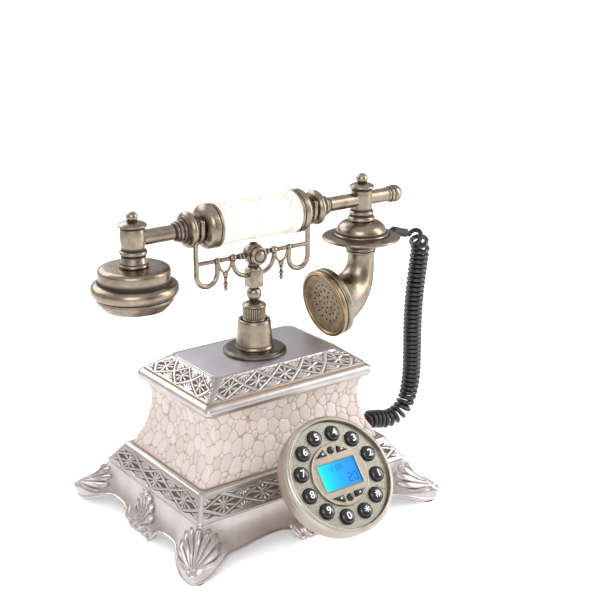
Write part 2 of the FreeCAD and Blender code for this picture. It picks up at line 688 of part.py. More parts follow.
def mouth_horn():
    """The curved horn that carries the mouthpiece."""
    outside = Part.makeLoft(horn_sections(0.0), True, False)
    inside = Part.makeLoft(horn_sections(1.8)[1:], True, False)
    return outside.cut(inside)


def mouth_cup():
    """The ring-shaped cup at the end of the horn."""
    outline = [(20.6, 0.6), (22.4, 0.0), (23.6, 0.9), (23.6, 3.4), (22.9, 4.0), (23.4, 4.8),
               (23.2, 9.0), (21.6, 10.0), (18.0, 10.0), (18.0, 8.6), (20.4, 7.8), (20.6, 3.6)]
    return turned(outline, V(MOUTH_X, 0, MOUTH_Z), MOUTH_BACK)


def mouth_grille():
    """The dished and perforated plate in the mouthpiece."""
    outline = [(0, 4.4), (9.0, 4.0), (15.0, 2.8), (20.6, 0.9), (20.6, 2.3), (15.0, 4.2),
               (9.0, 5.2), (0, 5.6)]
    dish = turned(outline, V(MOUTH_X, 0, MOUTH_Z), MOUTH_BACK)
    turn = FreeCAD.Rotation(Z_AXIS, MOUTH_BACK)
    for x, y in hole_places(13.0, 3):
        start = V(MOUTH_X, 0, MOUTH_Z) + turn.multVec(V(x, y, -1))
        dish = dish.cut(Part.makeCylinder(0.75, 9, start, MOUTH_BACK))
    return dish


# ---- cord ----
def base_plug():
    """The plug in the cord socket, with its boot."""
    latch = box(JACK_X - 8.0, JACK_X, JACK_Y - 4.2, JACK_Y + 4.2, JACK_Z - 2.4, JACK_Z + 2.4)
    start = V(JACK_X, JACK_Y, JACK_Z)
    boot = turned([(0, 0), (5.0, 0), (5.0, 3.0), (3.6, 8.0), (3.2, 13.6), (0, 13.6)], start, X_AXIS)
    return latch.fuse(boot)


def handset_plug():
    """The boot where the cord enters the rim of the saucer."""
    start = V(RIGHT_X + 26.0, 0, 171.3)
    end = V(*CORD_ROUTE[-1])
    length = (end - start).Length - 0.05
    outline = [(0, 0), (1.6, 0), (2.6, 1.8), (3.4, 2.4), (3.4, 7.0), (3.0, 8.0), (3.0, length),
               (0, length)]
    return turned(outline, start, end - start).cut(saucer())


def handset_cord():
    """The curly cord as one round tube of its outer size."""
    points = [V(*point) for point in CORD_ROUTE]
    edges = []
    at = points[0]
    for before, corner, after in zip(points, points[1:], points[2:]):
        ahead = (corner - before).normalize()
        beyond = (after - corner).normalize()
        shorter = min((corner - before).Length, (after - corner).Length)
        half_turn = ahead.getAngle(beyond) / 2
        setback = 0.45 * shorter
        radius = setback / math.tan(half_turn)
        start = corner - ahead * setback
        end = corner + beyond * setback
        bisector = (beyond - ahead).normalize()
        centre_distance = radius / math.cos(half_turn)
        mid = corner + bisector * (centre_distance - radius)
        edges.append(Part.makeLine(at, start))
        edges.append(Part.Arc(start, mid, end).toShape())
        print("cord bend: turn %.0f degrees, radius %.1f" % (math.degrees(2 * half_turn), radius))
        at = end
    edges.append(Part.makeLine(at, points[-1]))
    wire = Part.Wire(edges)
    start_ring = Part.makeCircle(CORD_R, points[0], edges[0].tangentAt(edges[0].FirstParameter))
    tube = wire.makePipeShell([Part.Wire(start_ring)], True, False)
    section = math.pi * CORD_R ** 2
    print("cord tube: length %.1f, volume / (section x length) %.4f"
          % (wire.Length, tube.Volume / section / wire.Length))
    return tube


def export(name, shape):
    """Writes one piece in the written frame."""
    moved = shape.copy()
    moved.translate(FRAME_SHIFT)
    moved.exportStep("parts/%s.step" % name)
    return moved


def main():
    """Builds and writes every piece."""
    os.makedirs("parts", exist_ok=True)
    makers = [plinth, waist, lid, bottom_cover, foot_pads, fasteners, post_flange, post_socket,
              dial_housing, dial_rim, key_plate, display_bezel, display_panel, keypad_board,
              main_board, ringer, modular_jacks, hook_switch, battery_pack, battery_door,
              ringer_switch, hook_lever, cradle_stem, cradle_bar, plunger_spring, grip,
              left_arm, right_arm, left_post, right_post, earpiece_shell, earpiece_cap,
              handset_capsules, saucer, mouth_horn, mouth_cup, mouth_grille, base_plug,
              handset_plug, handset_cord]
    pieces = {maker.__name__: maker() for maker in makers}
    pieces["left_hook"] = hook(-1)
    pieces["right_hook"] = hook(1)
    for index, digit in enumerate(DIGITS):
        pieces["key_" + digit] = digit_key(index)
    for name, outline in WEDGES.items():
        pieces["key_" + name] = wedge_key(outline)
    for name, spot in ROUNDS.items():
        pieces["key_" + name] = round_key(*spot)
    for name, shape in pieces.items():
        moved = export(name, shape)
        if not moved.isValid():
            print("not valid:", name)
    print(len(pieces), "pieces")


main()
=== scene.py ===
"""Desk telephone in an antique style: cast base, push-button dial, cradle, handset and cord.

Sizes are worked in millimetres with the middle of the base at x = y = 0 and the table at
z = 0. in_frame() turns them into metres in the shared frame. Each surface keeps two layers of
numbers for its finish: "recess", from 0 on open metal to 1 in a groove, and "gilt" or "tint".
On the inner wall of the display window "recess" is painted shade.
"""
import math
import bpy
import bmesh
import numpy as np
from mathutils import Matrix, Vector


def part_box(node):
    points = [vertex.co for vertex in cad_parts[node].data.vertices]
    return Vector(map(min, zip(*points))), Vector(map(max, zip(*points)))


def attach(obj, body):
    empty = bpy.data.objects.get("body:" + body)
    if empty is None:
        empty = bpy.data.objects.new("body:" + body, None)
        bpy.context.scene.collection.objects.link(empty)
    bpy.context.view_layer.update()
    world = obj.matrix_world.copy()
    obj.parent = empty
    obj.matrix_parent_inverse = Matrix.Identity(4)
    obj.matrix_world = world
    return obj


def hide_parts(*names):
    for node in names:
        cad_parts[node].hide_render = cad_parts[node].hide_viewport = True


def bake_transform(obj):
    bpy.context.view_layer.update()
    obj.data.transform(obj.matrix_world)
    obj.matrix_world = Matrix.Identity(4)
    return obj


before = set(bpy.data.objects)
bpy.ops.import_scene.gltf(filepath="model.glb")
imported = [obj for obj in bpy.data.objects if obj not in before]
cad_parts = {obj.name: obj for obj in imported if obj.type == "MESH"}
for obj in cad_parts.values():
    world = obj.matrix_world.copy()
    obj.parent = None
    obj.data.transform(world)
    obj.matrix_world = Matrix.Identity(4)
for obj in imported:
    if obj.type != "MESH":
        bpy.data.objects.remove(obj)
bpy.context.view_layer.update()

waist_low, waist_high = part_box("waist")
MIDDLE = (waist_low + waist_high) / 2
SHIFT = np.array((MIDDLE.x, MIDDLE.y, 0.0))
BASE, CRADLE, HANDSET = "base", "cradle", "handset"

# ---- sizes shared with the castings, in millimetres ----
LEDGE_Z = 43.4
WAIST = [(LEDGE_Z, 70.5, 45.0), (49.0, 68.0, 43.8), (56.0, 64.0, 41.6), (65.0, 61.0, 39.8),
         (74.0, 59.3, 38.6), (81.0, 59.5, 38.8), (88.5, 61.5, 40.5)]
CORNER_R = 3.5
APRON_TOP, APRON_X, APRON_Y = 28.6, 82.9, 59.7
APRON_LOW = 8.5
DIAL_TILT = 40.6
DIAL_CENTRE = np.array((0.0, -93.7, 54.2))
KEY_RING_R = 27.0
DIGITS = ["4", "3", "2", "1", "hash", "star", "0", "9", "8", "7", "6", "5"]
FIRST_DIGIT = 15.0
BAR_Z = 174.2
HOOK_X = 43.5
HOOK_INNER_X = 28.0
BEAD_X = 16.0
FINIAL_X = 21.8
HANDSET_Z = 198.0
LEFT_X = -87.5
RIGHT_X = 89.3
MOUTH = np.array((56.5, 0.0, 128.5))
MOUTH_TILT = 8.9

# Middle line of the curly cord, in metres about the middle of the base.
CORD_ROUTE = [(0.0970, 0.0100, 0.0270), (0.1100, 0.0100, 0.0270), (0.1265, 0.0100, 0.0215),
              (0.1410, 0.0090, 0.0285), (0.1460, 0.0080, 0.0480), (0.1445, 0.0060, 0.0720),
              (0.1420, 0.0040, 0.0970), (0.1415, 0.0020, 0.1220), (0.1435, 0.0010, 0.1440),
              (0.1445, 0.0000, 0.1565), (0.1390, 0.0000, 0.16517), (0.1300, 0.0000, 0.1675)]
WIRE_R = 1.65
COIL_R = 5.3


def in_frame(points):
    """Millimetres about the middle of the base, as metres in the shared frame."""
    return np.asarray(points, float) * 0.001 + SHIFT


# ---- camera, light and floor ----
def make_camera():
    """The camera, a little above the telephone and to its left."""
    azimuth = math.radians(-36.14)
    elevation = math.radians(18.15)
    back = Vector((math.sin(azimuth) * math.cos(elevation),
                   -math.cos(azimuth) * math.cos(elevation), math.sin(elevation)))
    data = bpy.data.cameras.new("camera")
    data.lens = 75.36
    data.sensor_width = 36.0
    data.clip_start = 0.01
    data.clip_end = 50.0
    camera = bpy.data.objects.new("camera", data)
    bpy.context.scene.collection.objects.link(camera)
    target = Vector(in_frame((37.27, 0.0, 135.48)))
    camera.location = target + back * 0.84625
    camera.rotation_mode = "QUATERNION"
    camera.rotation_quaternion = (-back).to_track_quat("-Z", "Y")
    bpy.context.scene.camera = camera


def linear(code):
    """An sRGB hex colour as linear RGBA."""
    values = [int(code[i:i + 2], 16) / 255 for i in (1, 3, 5)]
    return tuple(v / 12.92 if v <= 0.04045 else ((v + 0.055) / 1.055) ** 2.4
                 for v in values) + (1.0,)


def add(tree, kind, settings=None, inputs=None):
    """Adds a node; an input is given a value, or an output socket to be linked from."""
    node = tree.nodes.new(kind)
    for name, value in (settings or {}).items():
        setattr(node, name, value)
    for socket, value in (inputs or {}).items():
        if isinstance(value, bpy.types.NodeSocket):
            tree.links.new(value, node.inputs[socket])
        else:
            node.inputs[socket].default_value = value
    return node


def ramp(tree, source, stops, interpolation="LINEAR"):
    """A colour ramp through (position, sRGB hex) stops; returns its colour socket."""
    node = add(tree, "ShaderNodeValToRGB", None, {"Fac": source})
    node.color_ramp.interpolation = interpolation
    elements = node.color_ramp.elements
    while len(elements) < len(stops):
        elements.new(0.5)
    for element, (position, code) in zip(elements, stops):
        element.position = position
        element.color = linear(code)
    return node.outputs["Color"]


def area_light(name, place, target, size, size_y, power, colour="#FFFFFF"):
    """A soft box that faces its target; places in millimetres."""
    data = bpy.data.lights.new(name, "AREA")
    data.shape = "RECTANGLE"
    data.size = size
    data.size_y = size_y
    data.energy = power
    data.color = linear(colour)[:3]
    light = bpy.data.objects.new(name, data)
    bpy.context.scene.collection.objects.link(light)
    light.location = in_frame(place)
    light.rotation_mode = "QUATERNION"
    towards = Vector(in_frame(target)) - light.location
    light.rotation_quaternion = towards.to_track_quat("-Z", "Y")


def make_studio():
    """A pale room with brighter and darker walls for the metal to reflect, and soft boxes."""
    world = bpy.data.worlds.new("studio")
    bpy.context.scene.world = world
    world.use_nodes = True
    tree = world.node_tree
    tree.nodes.clear()
    place = add(tree, "ShaderNodeTexCoord").outputs["Generated"]
    around = add(tree, "ShaderNodeTexGradient", {"gradient_type": "RADIAL"}, {"Vector": place})
    walls = ramp(tree, around.outputs["Fac"],
                 [(0.0, "#8C8884"), (0.10, "#F4F2F0"), (0.20, "#F8F6F4"), (0.27, "#7E7A76"),
                  (0.34, "#E9E7E5"), (0.50, "#FFFFFF"), (0.60, "#8A8682"), (0.68, "#787470"),
                  (0.78, "#D2D0CE"), (0.90, "#D8D6D4"), (1.0, "#8C8884")], "EASE")
    split = add(tree, "ShaderNodeSeparateXYZ", None, {"Vector": place})
    rise = add(tree, "ShaderNodeMapRange", None,
               {"Value": split.outputs["Z"], "From Min": 0.05, "From Max": 0.75})
    mixed = add(tree, "ShaderNodeMix", {"data_type": "RGBA"},
                {"Factor": rise.outputs["Result"], 6: walls, 7: linear("#EEEEF0")})
    glow = add(tree, "ShaderNodeBackground", None, {"Color": mixed.outputs[2], "Strength": 0.96})
    add(tree, "ShaderNodeOutputWorld", None, {"Surface": glow.outputs["Background"]})
    area_light("left_box", (-560, -620, 620), (0, 0, 110), 0.55, 0.55, 2.8)
    area_light("right_box", (640, -380, 420), (20, 0, 110), 0.35, 0.7, 3.2)
    area_light("back_box", (-120, 620, 560), (0, 0, 140), 0.8, 0.4, 2.6)
    bpy.context.scene.view_settings.view_transform = "Standard"


def new_material(name):
    """An empty node material and its tree."""
    material = bpy.data.materials.new(name)
    material.use_nodes = True
    material.node_tree.nodes.clear()
    return material, material.node_tree


def close(tree, shader):
    """Joins a shader to the material's output."""
    add(tree, "ShaderNodeOutputMaterial", None, {"Surface": shader.outputs[0]})


def make_floor():
    """A plain pale floor of matt laminated board."""
    material, tree = new_material("pale_board")
    place = add(tree, "ShaderNodeTexCoord").outputs["Object"]
    grain = add(tree, "ShaderNodeTexNoise", None, {"Vector": place, "Scale": 40.0})
    colour = ramp(tree, grain.outputs["Fac"], [(0.3, "#F3F3F3"), (0.7, "#F6F6F6")])
    close(tree, add(tree, "ShaderNodeBsdfPrincipled", None,
                    {"Base Color": colour, "Roughness": 0.7, "Specular IOR Level": 0.2,
                     "Emission Color": linear("#FFFFFF"), "Emission Strength": 0.45}))
    mesh = bpy.data.meshes.new("floor")
    corners = [(-6.0, -6.0, 0.0), (6.0, -6.0, 0.0), (6.0, 6.0, 0.0), (-6.0, 6.0, 0.0)]
    mesh.from_pydata(corners, [], [(0, 1, 2, 3)])
    mesh.materials.append(material)
    floor = bpy.data.objects.new("floor", mesh)
    bpy.context.scene.collection.objects.link(floor)


def noise(tree, size_mm, detail=3.0, stretch=(1.0, 1.0, 1.0)):
    """Noise whose patches are about size_mm across; returns its value socket."""
    place = add(tree, "ShaderNodeTexCoord").outputs["Object"]
    mapped = add(tree, "ShaderNodeMapping", None, {"Vector": place, "Scale": stretch})
    node = add(tree, "ShaderNodeTexNoise", None,
               {"Vector": mapped.outputs["Vector"], "Scale": 1000.0 / size_mm, "Detail": detail})
    return node.outputs["Fac"]


def layer(tree, name):
    """One of the mesh's own layers of numbers."""
    return add(tree, "ShaderNodeAttribute", {"attribute_name": name}).outputs["Fac"]


def scaled(tree, value, low, high):
    """The value from 0 to 1 spread from low to high."""
    node = add(tree, "ShaderNodeMapRange", None, {"Value": value, "To Min": low, "To Max": high})
    return node.outputs["Result"]


def blended(tree, factor, first, second):
    """Two colours mixed by a factor."""
    node = add(tree, "ShaderNodeMix", {"data_type": "RGBA"},
               {"Factor": factor, 6: first, 7: second})
    return node.outputs[2]


def bumped(tree, height, depth_mm, strength=1.0):
    """A normal from a height that runs from 0 to 1 over depth_mm."""
    node = add(tree, "ShaderNodeBump", None,
               {"Height": height, "Distance": depth_mm / 1000.0, "Strength": strength})
    return node.outputs["Normal"]


def aged_metal(name, light, dark, recess_colour, rough, wear_mm=7.0, grain_mm=0.6, bump_mm=0.02,
               gilt="#A0875F"):
    """A plated casting: even metal with slight cloudiness, dark wash left in its recesses, and
    painted shade on a wall that a piece marks as recess.
    """
    material, tree = new_material(name)
    clouds = noise(tree, wear_mm, 4.0)
    grain = noise(tree, grain_mm, 2.0)
    metal = ramp(tree, clouds, [(0.32, dark), (0.68, light)])
    # Towards the recess colour where the recess layer is high: patina in the grooves, painted shade
    # on the display window's inner wall.
    recess = layer(tree, "recess")
    wash = add(tree, "ShaderNodeMath", {"operation": "MULTIPLY_ADD"},
               {0: clouds, 1: 0.35, 2: recess}).outputs[0]
    darkening = add(tree, "ShaderNodeMapRange", None,
               {"Value": wash, "From Min": 0.42, "From Max": 1.05}).outputs["Result"]
    gold = blended(tree, layer(tree, "gilt"), metal, linear(gilt))
    colour = blended(tree, darkening, gold, linear(recess_colour))
    spread = add(tree, "ShaderNodeMath", {"operation": "MULTIPLY_ADD"},
                 {0: darkening, 1: 0.30, 2: scaled(tree, grain, rough - 0.05, rough + 0.07)}).outputs[0]
    shine = scaled(tree, darkening, 1.0, 0.25)
    close(tree, add(tree, "ShaderNodeBsdfPrincipled", None,
                    {"Base Color": colour, "Metallic": shine, "Roughness": spread,
                     "Normal": bumped(tree, grain, bump_mm, 0.5)}))
    return material


def moulded(name, light, dark, rough, grain_mm=0.5, bump_mm=0.02, coat=0.0, ior=1.5,
            mottle_mm=9.0):
    """A moulded or painted part with a fine surface grain."""
    material, tree = new_material(name)
    colour = ramp(tree, noise(tree, mottle_mm), [(0.35, dark), (0.65, light)])
    grain = noise(tree, grain_mm, 2.0)
    close(tree, add(tree, "ShaderNodeBsdfPrincipled", None,
                    {"Base Color": colour,
                     "Roughness": scaled(tree, grain, rough - 0.05, rough + 0.05),
                     "IOR": ior, "Coat Weight": coat, "Coat Roughness": 0.15,
                     "Normal": bumped(tree, grain, bump_mm)}))
    return material


def pebble_paint():
    """Cream lacquer rubbed over the cast pebbles, with gold-brown wash left in the joints."""
    material, tree = new_material("cream_lacquer")
    tint = ramp(tree, layer(tree, "tint"),
                [(0.0, "#D0C2B9"), (0.5, "#D8CBC4"), (1.0, "#DFD5CF")])
    clouds = noise(tree, 3.0, 4.0)
    stone = blended(tree, scaled(tree, clouds, 0.0, 0.45), tint, linear("#C9B9AF"))
    recess = layer(tree, "recess")
    wash = ramp(tree, recess, [(0.25, "#000000"), (0.85, "#FFFFFF")])
    joint = ramp(tree, clouds, [(0.35, "#8C7A66"), (0.65, "#B39A78")])
    amount = add(tree, "ShaderNodeMath", {"operation": "MULTIPLY"}, {0: wash, 1: 0.75}).outputs[0]
    colour = blended(tree, amount, stone, joint)
    close(tree, add(tree, "ShaderNodeBsdfPrincipled", None,
                    {"Base Color": colour, "Roughness": scaled(tree, clouds, 0.32, 0.46),
                     "Metallic": 0.0, "IOR": 1.5, "Coat Weight": 0.25, "Coat Roughness": 0.3,
                     "Normal": bumped(tree, noise(tree, 0.5, 2.0), 0.03)}))
    return material


def resin():
    """Cast polyester resin, cream right through, with a faint brown wash in its carving."""
    material, tree = new_material("cast_resin")
    clouds = noise(tree, 6.0, 4.0)
    body = ramp(tree, clouds, [(0.3, "#EFE8DE"), (0.7, "#F8F4EE")])
    darkening = add(tree, "ShaderNodeMath", {"operation": "MULTIPLY"},
               {0: layer(tree, "recess"), 1: 0.7}).outputs[0]
    colour = blended(tree, darkening, body, linear("#B59A80"))
    close(tree, add(tree, "ShaderNodeBsdfPrincipled", None,
                    {"Base Color": colour, "Roughness": scaled(tree, clouds, 0.28, 0.40),
                     "IOR": 1.56, "Subsurface Weight": 0.15, "Subsurface Radius": (0.8, 0.6, 0.4),
                     "Subsurface Scale": 0.002,
                     "Normal": bumped(tree, noise(tree, 1.2, 2.0), 0.02)}))
    return material


def lit_glass(digits=False):
    """The backlit liquid crystal: an electroluminescent film lights it brightest at one end."""
    name = "display_digits" if digits else "display_backlight"
    material, tree = new_material(name)
    place = add(tree, "ShaderNodeTexCoord").outputs["Object"]
    split = add(tree, "ShaderNodeSeparateXYZ", None, {"Vector": place})
    middle = float(SHIFT[0])
    across = add(tree, "ShaderNodeMapRange", None,
                 {"Value": split.outputs["X"], "From Min": middle - 0.0143,
                  "From Max": middle + 0.0143}).outputs["Result"]
    stops = [(0.0, "#22FFF4"), (0.16, "#00E6FF"), (0.5, "#00B2FF"), (1.0, "#0092FA")]
    if digits:
        stops = [(0.0, "#0A78D8"), (0.5, "#0A50CC"), (1.0, "#0838B8")]
    colour = ramp(tree, across, stops)
    close(tree, add(tree, "ShaderNodeBsdfPrincipled", None,
                    {"Base Color": linear("#04121A"), "Roughness": 0.5, "IOR": 1.33,
                     "Emission Color": colour, "Emission Strength": 1.0}))
    return material


def make_materials():
    """Every finish on the telephone."""
    found = {}
    # Zinc die casting, copper plated and blackened, then relieved and lacquered: a warm
    # grey metal with dark lines left in its grooves.
    found["bronze"] = aged_metal("relieved_bronze", "#A09383", "#847769",
                                 "#2A2019", 0.26)
    # The same casting rubbed back by wear, browner and less bright.
    found["grille"] = aged_metal("rubbed_grille", "#8F7D66", "#6F5F4C",
                                 "#2A2019", 0.34, wear_mm=4.0)
    # Relieved less than the castings above, so darker and a little duller.
    found["dark_bronze"] = aged_metal("blackened_bronze", "#7C766F", "#5E5852",
                                      "#2A2622", 0.34)
    # White-metal casting with a satin pewter plate; brown wash wiped off the high relief.
    found["pewter"] = aged_metal("wiped_pewter", "#C9C2BF", "#B8B0AD",
                                 "#66594D", 0.33, wear_mm=14.0)
    # Plain satin plate, cooler in colour and duller than the casting.
    found["panel"] = aged_metal("satin_top_plate", "#CBC8CB", "#C1BEC2",
                                "#5A5048", 0.42, wear_mm=20.0)
    # Champagne lacquer over cast ABS, with a fine grain 0.4 mm across.
    found["champagne"] = aged_metal("champagne_lacquer", "#BDB1A6", "#AEA298",
                                    "#4C4238", 0.36, wear_mm=18.0, grain_mm=0.4)
    # Champagne plate on the dial's rims, a little shinier than the lacquer.
    found["rim"] = aged_metal("champagne_plate", "#C1BAAD", "#ABA497",
                              "#4A3F32", 0.28, wear_mm=12.0)
    # Darker lacquer round the display, with the same fine grain.
    # Its near-black recess colour is painted shade on the inner wall of the display window.
    found["bezel"] = aged_metal("bezel_lacquer", "#A39989", "#91887A",
                                "#2A241E", 0.36, wear_mm=12.0, grain_mm=0.4)
    # Sand-cast texture under champagne lacquer, grit about 0.5 mm.
    found["plate"] = aged_metal("stippled_lacquer", "#A6A296", "#827E72",
                                "#5C5644", 0.42, wear_mm=1.1, grain_mm=0.45, bump_mm=0.16)
    found["pebbles"] = pebble_paint()
    found["resin"] = resin()
    # Polished black ABS of the keys, and their pad-printed white legends.
    found["keys"] = moulded("polished_black_abs", "#0D0D0F", "#080809", 0.16,
                            0.8, 0.004, coat=0.5)
    found["legend"] = moulded("white_pad_print", "#FAFAFA", "#F0F0F0", 0.45)
    # Spark-eroded texture moulded into black ABS, half matt.
    found["black"] = moulded("spark_textured_abs", "#232325", "#1A1A1C", 0.5,
                             0.4, 0.03)
    # Flexible PVC of the coiled lead, glossy from the extruder.
    found["vinyl"] = moulded("coiled_vinyl", "#151618", "#0E0F11", 0.3, 0.6, 0.01,
                             coat=0.3)
    # Nitrile rubber, dull black.
    found["rubber"] = moulded("nitrile_rubber", "#1B1B1B", "#141414", 0.8, 0.3, 0.04)
    # Fibreglass laminate under green solder mask, satin.
    found["board"] = moulded("solder_masked_laminate", "#1F5A36", "#174528", 0.4)
    # Blue shrink sleeve of the cells, slightly glossy.
    found["sleeve"] = moulded("printed_cell_sleeve", "#2E4A6B", "#24405F", 0.35)
    # Bright zinc plate on steel, faintly blue.
    found["zinc"] = aged_metal("zinc_plated_steel", "#C6C8CC", "#A9ABAF", "#3A3A3C",
                               0.3, wear_mm=3.0)
    # The lit display, blue-green at its left, and its darker figures.
    found["lcd"] = lit_glass()
    found["lcd_digits"] = lit_glass(True)
    return found


# ---- making pieces ----
def settle(piece, body, replaced):
    """Puts a piece on its body and hides the parts it stands for."""
    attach(piece, body)
    if replaced:
        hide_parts(*replaced)


def make_piece(name, points, faces, material, body, replaced=(), layers=None, sharp=50):
    """A mesh piece from points in millimetres, with its finish, layers and smooth shading."""
    mesh = bpy.data.meshes.new(name)
    mesh.from_pydata(in_frame(points).tolist(), [], [[int(i) for i in f] for f in faces])
    for label, values in (layers or {}).items():
        data = mesh.attributes.new(label, "FLOAT", "POINT").data
        data.foreach_set("value", np.asarray(values, np.float32).ravel())
    mesh.materials.append(material)
    work = bmesh.new()
    work.from_mesh(mesh)
    bmesh.ops.recalc_face_normals(work, faces=work.faces)
    work.to_mesh(mesh)
    work.free()
    mesh.polygons.foreach_set("use_smooth", [True] * len(mesh.polygons))
    mesh.set_sharp_from_angle(angle=math.radians(sharp))
    piece = bpy.data.objects.new(name, mesh)
    bpy.context.scene.collection.objects.link(piece)
    if body:
        settle(piece, body, replaced)
    return piece


def grid_faces(rows, columns, wrap_rows=False):
    """Quads of rows that each close on themselves, numbered row by row."""
    row, column = np.meshgrid(np.arange(rows if wrap_rows else rows - 1),
                              np.arange(columns), indexing="ij")
    row_after = (row + 1) % rows
    column_after = (column + 1) % columns
    corners = [row * columns + column, row * columns + column_after,
               row_after * columns + column_after, row_after * columns + column]
    return np.stack(corners, -1).reshape(-1, 4).tolist()


def eased(outline, cut=0.35, steps=3, closed=False):
    """An outline with its corners eased; a third number in a point is that corner's own cut."""
    points = [np.array(p[:2], float) for p in outline]
    cuts = [p[2] if len(p) > 2 else cut for p in outline]
    count = len(points)
    result = []
    for i, point in enumerate(points):
        if not closed and i in (0, count - 1):
            result.append(point)
            continue
        before = points[i - 1] - point
        after = points[(i + 1) % count] - point
        size_before, size_after = np.linalg.norm(before), np.linalg.norm(after)
        start = point + before * min(cuts[i] / size_before, 0.48)
        end = point + after * min(cuts[i] / size_after, 0.48)
        for t in np.linspace(0, 1, steps + 1):
            result.append((1 - t) ** 2 * start + 2 * t * (1 - t) * point + t ** 2 * end)
    return np.array(result)


def hollows(profile, closed, window=1.1, depth=0.22):
    """How far each point of an outline lies in a groove, from 0 to 1."""
    ring = np.vstack([profile, profile[:1]]) if closed else profile
    lengths = np.concatenate([[0], np.cumsum(np.linalg.norm(np.diff(ring, axis=0), axis=1))])
    total = lengths[-1]
    at = lengths[:len(profile)]
    area = np.sum(ring[:-1, 0] * ring[1:, 1] - ring[1:, 0] * ring[:-1, 1])
    if not closed:
        area += ring[-1, 0] * ring[0, 1] - ring[0, 0] * ring[-1, 1]
    sides = []
    for offset in (-window, window):
        spot = at + offset
        spot = spot % total if closed else np.clip(spot, 0, total)
        sides.append(np.stack([np.interp(spot, lengths, ring[:, k]) for k in (0, 1)], -1))
    chord = sides[1] - sides[0]
    normal = np.stack([chord[:, 1], -chord[:, 0]], -1)
    normal /= np.linalg.norm(normal, axis=1, keepdims=True) + 1e-9
    rise = np.sum((profile - (sides[0] + sides[1]) / 2) * normal, axis=1) * np.sign(area)
    return np.clip(-rise / depth, 0, 1)


def stepped(profile, reach=1.2):
    """Adds a point near each end of a long straight run, so a wash stays in its corner."""
    result = [profile[0]]
    for first, second in zip(profile[:-1], profile[1:]):
        size = np.linalg.norm(second - first)
        if size > 3 * reach:
            way = (second - first) * reach / size
            result += [first + way, second - way]
        result.append(second)
    return np.array(result)


def about(axis):
    """Two directions square to an axis, and the axis, as rows."""
    axis = np.array(axis, float)
    axis /= np.linalg.norm(axis)
    turn = Vector((0, 0, 1)).rotation_difference(Vector(axis))
    return np.array([turn @ Vector(v) for v in ((1, 0, 0), (0, 1, 0), (0, 0, 1))])


def turned(name, outline, material, body, replaced=(), base=(0, 0, 0), axis=(0, 0, 1), steps=96,
           ripple=None, cut=0.35, sharp=50, gilt=None):
    """A turned piece: (radius, distance along the axis) points swept round the axis."""
    closed = outline[0][0] > 0.001
    profile = stepped(eased(outline, cut, 3, closed))
    groove = hollows(profile, closed)
    frame_rows = about(axis)
    angle = np.arange(steps) * 2 * np.pi / steps
    radius = np.repeat(profile[:, :1], steps, axis=1)
    height = np.repeat(profile[:, 1:2], steps, axis=1)
    recess = np.repeat(groove[:, None], steps, axis=1)
    if ripple:
        change, deeper = ripple(np.broadcast_to(angle, radius.shape), height, radius)
        radius = radius + change
        recess = np.clip(recess + deeper, 0, 1)
    local = np.stack([radius * np.cos(angle), radius * np.sin(angle), height], -1)
    points = local.reshape(-1, 3) @ frame_rows + np.array(base, float)
    recess = recess.ravel()
    faces = grid_faces(len(profile), steps, closed)
    if not closed:
        ends = [(0, [1, 0]), (len(profile) - 1, [0, 1])]
        keep = np.ones(len(points), bool)
        for row, _ in ends:
            keep[row * steps + 1:(row + 1) * steps] = False
        number = np.cumsum(keep) - 1
        for row, _ in ends:
            number[row * steps:(row + 1) * steps] = number[row * steps]
        renumbered = []
        for face in faces:
            corners = []
            for corner in number[face]:
                if corner not in corners:
                    corners.append(corner)
            if len(corners) > 2:
                renumbered.append(corners)
        faces = renumbered
        points = points[keep]
        recess = recess[keep]
        height = height.ravel()[keep]
    layers = {"recess": recess}
    if gilt:
        layers["gilt"] = gilt(height.ravel())
    return make_piece(name, points, faces, material, body, replaced, layers, sharp)


def spread(points, step=0.8):
    """A smooth line through points, sampled about every step millimetres."""
    points = np.array(points, float)
    padded = np.vstack([2 * points[0] - points[1], points, 2 * points[-1] - points[-2]])
    result = []
    for p0, p1, p2, p3 in zip(padded, padded[1:], padded[2:], padded[3:]):
        count = max(2, int(np.linalg.norm(p2 - p1) / step))
        for t in np.arange(count) / count:
            result.append(0.5 * (2 * p1 + (p2 - p0) * t + (2 * p0 - 5 * p1 + 4 * p2 - p3) * t ** 2
                                 + (3 * p1 - p0 - 3 * p2 + p3) * t ** 3))
    result.append(points[-1])
    return np.array(result)


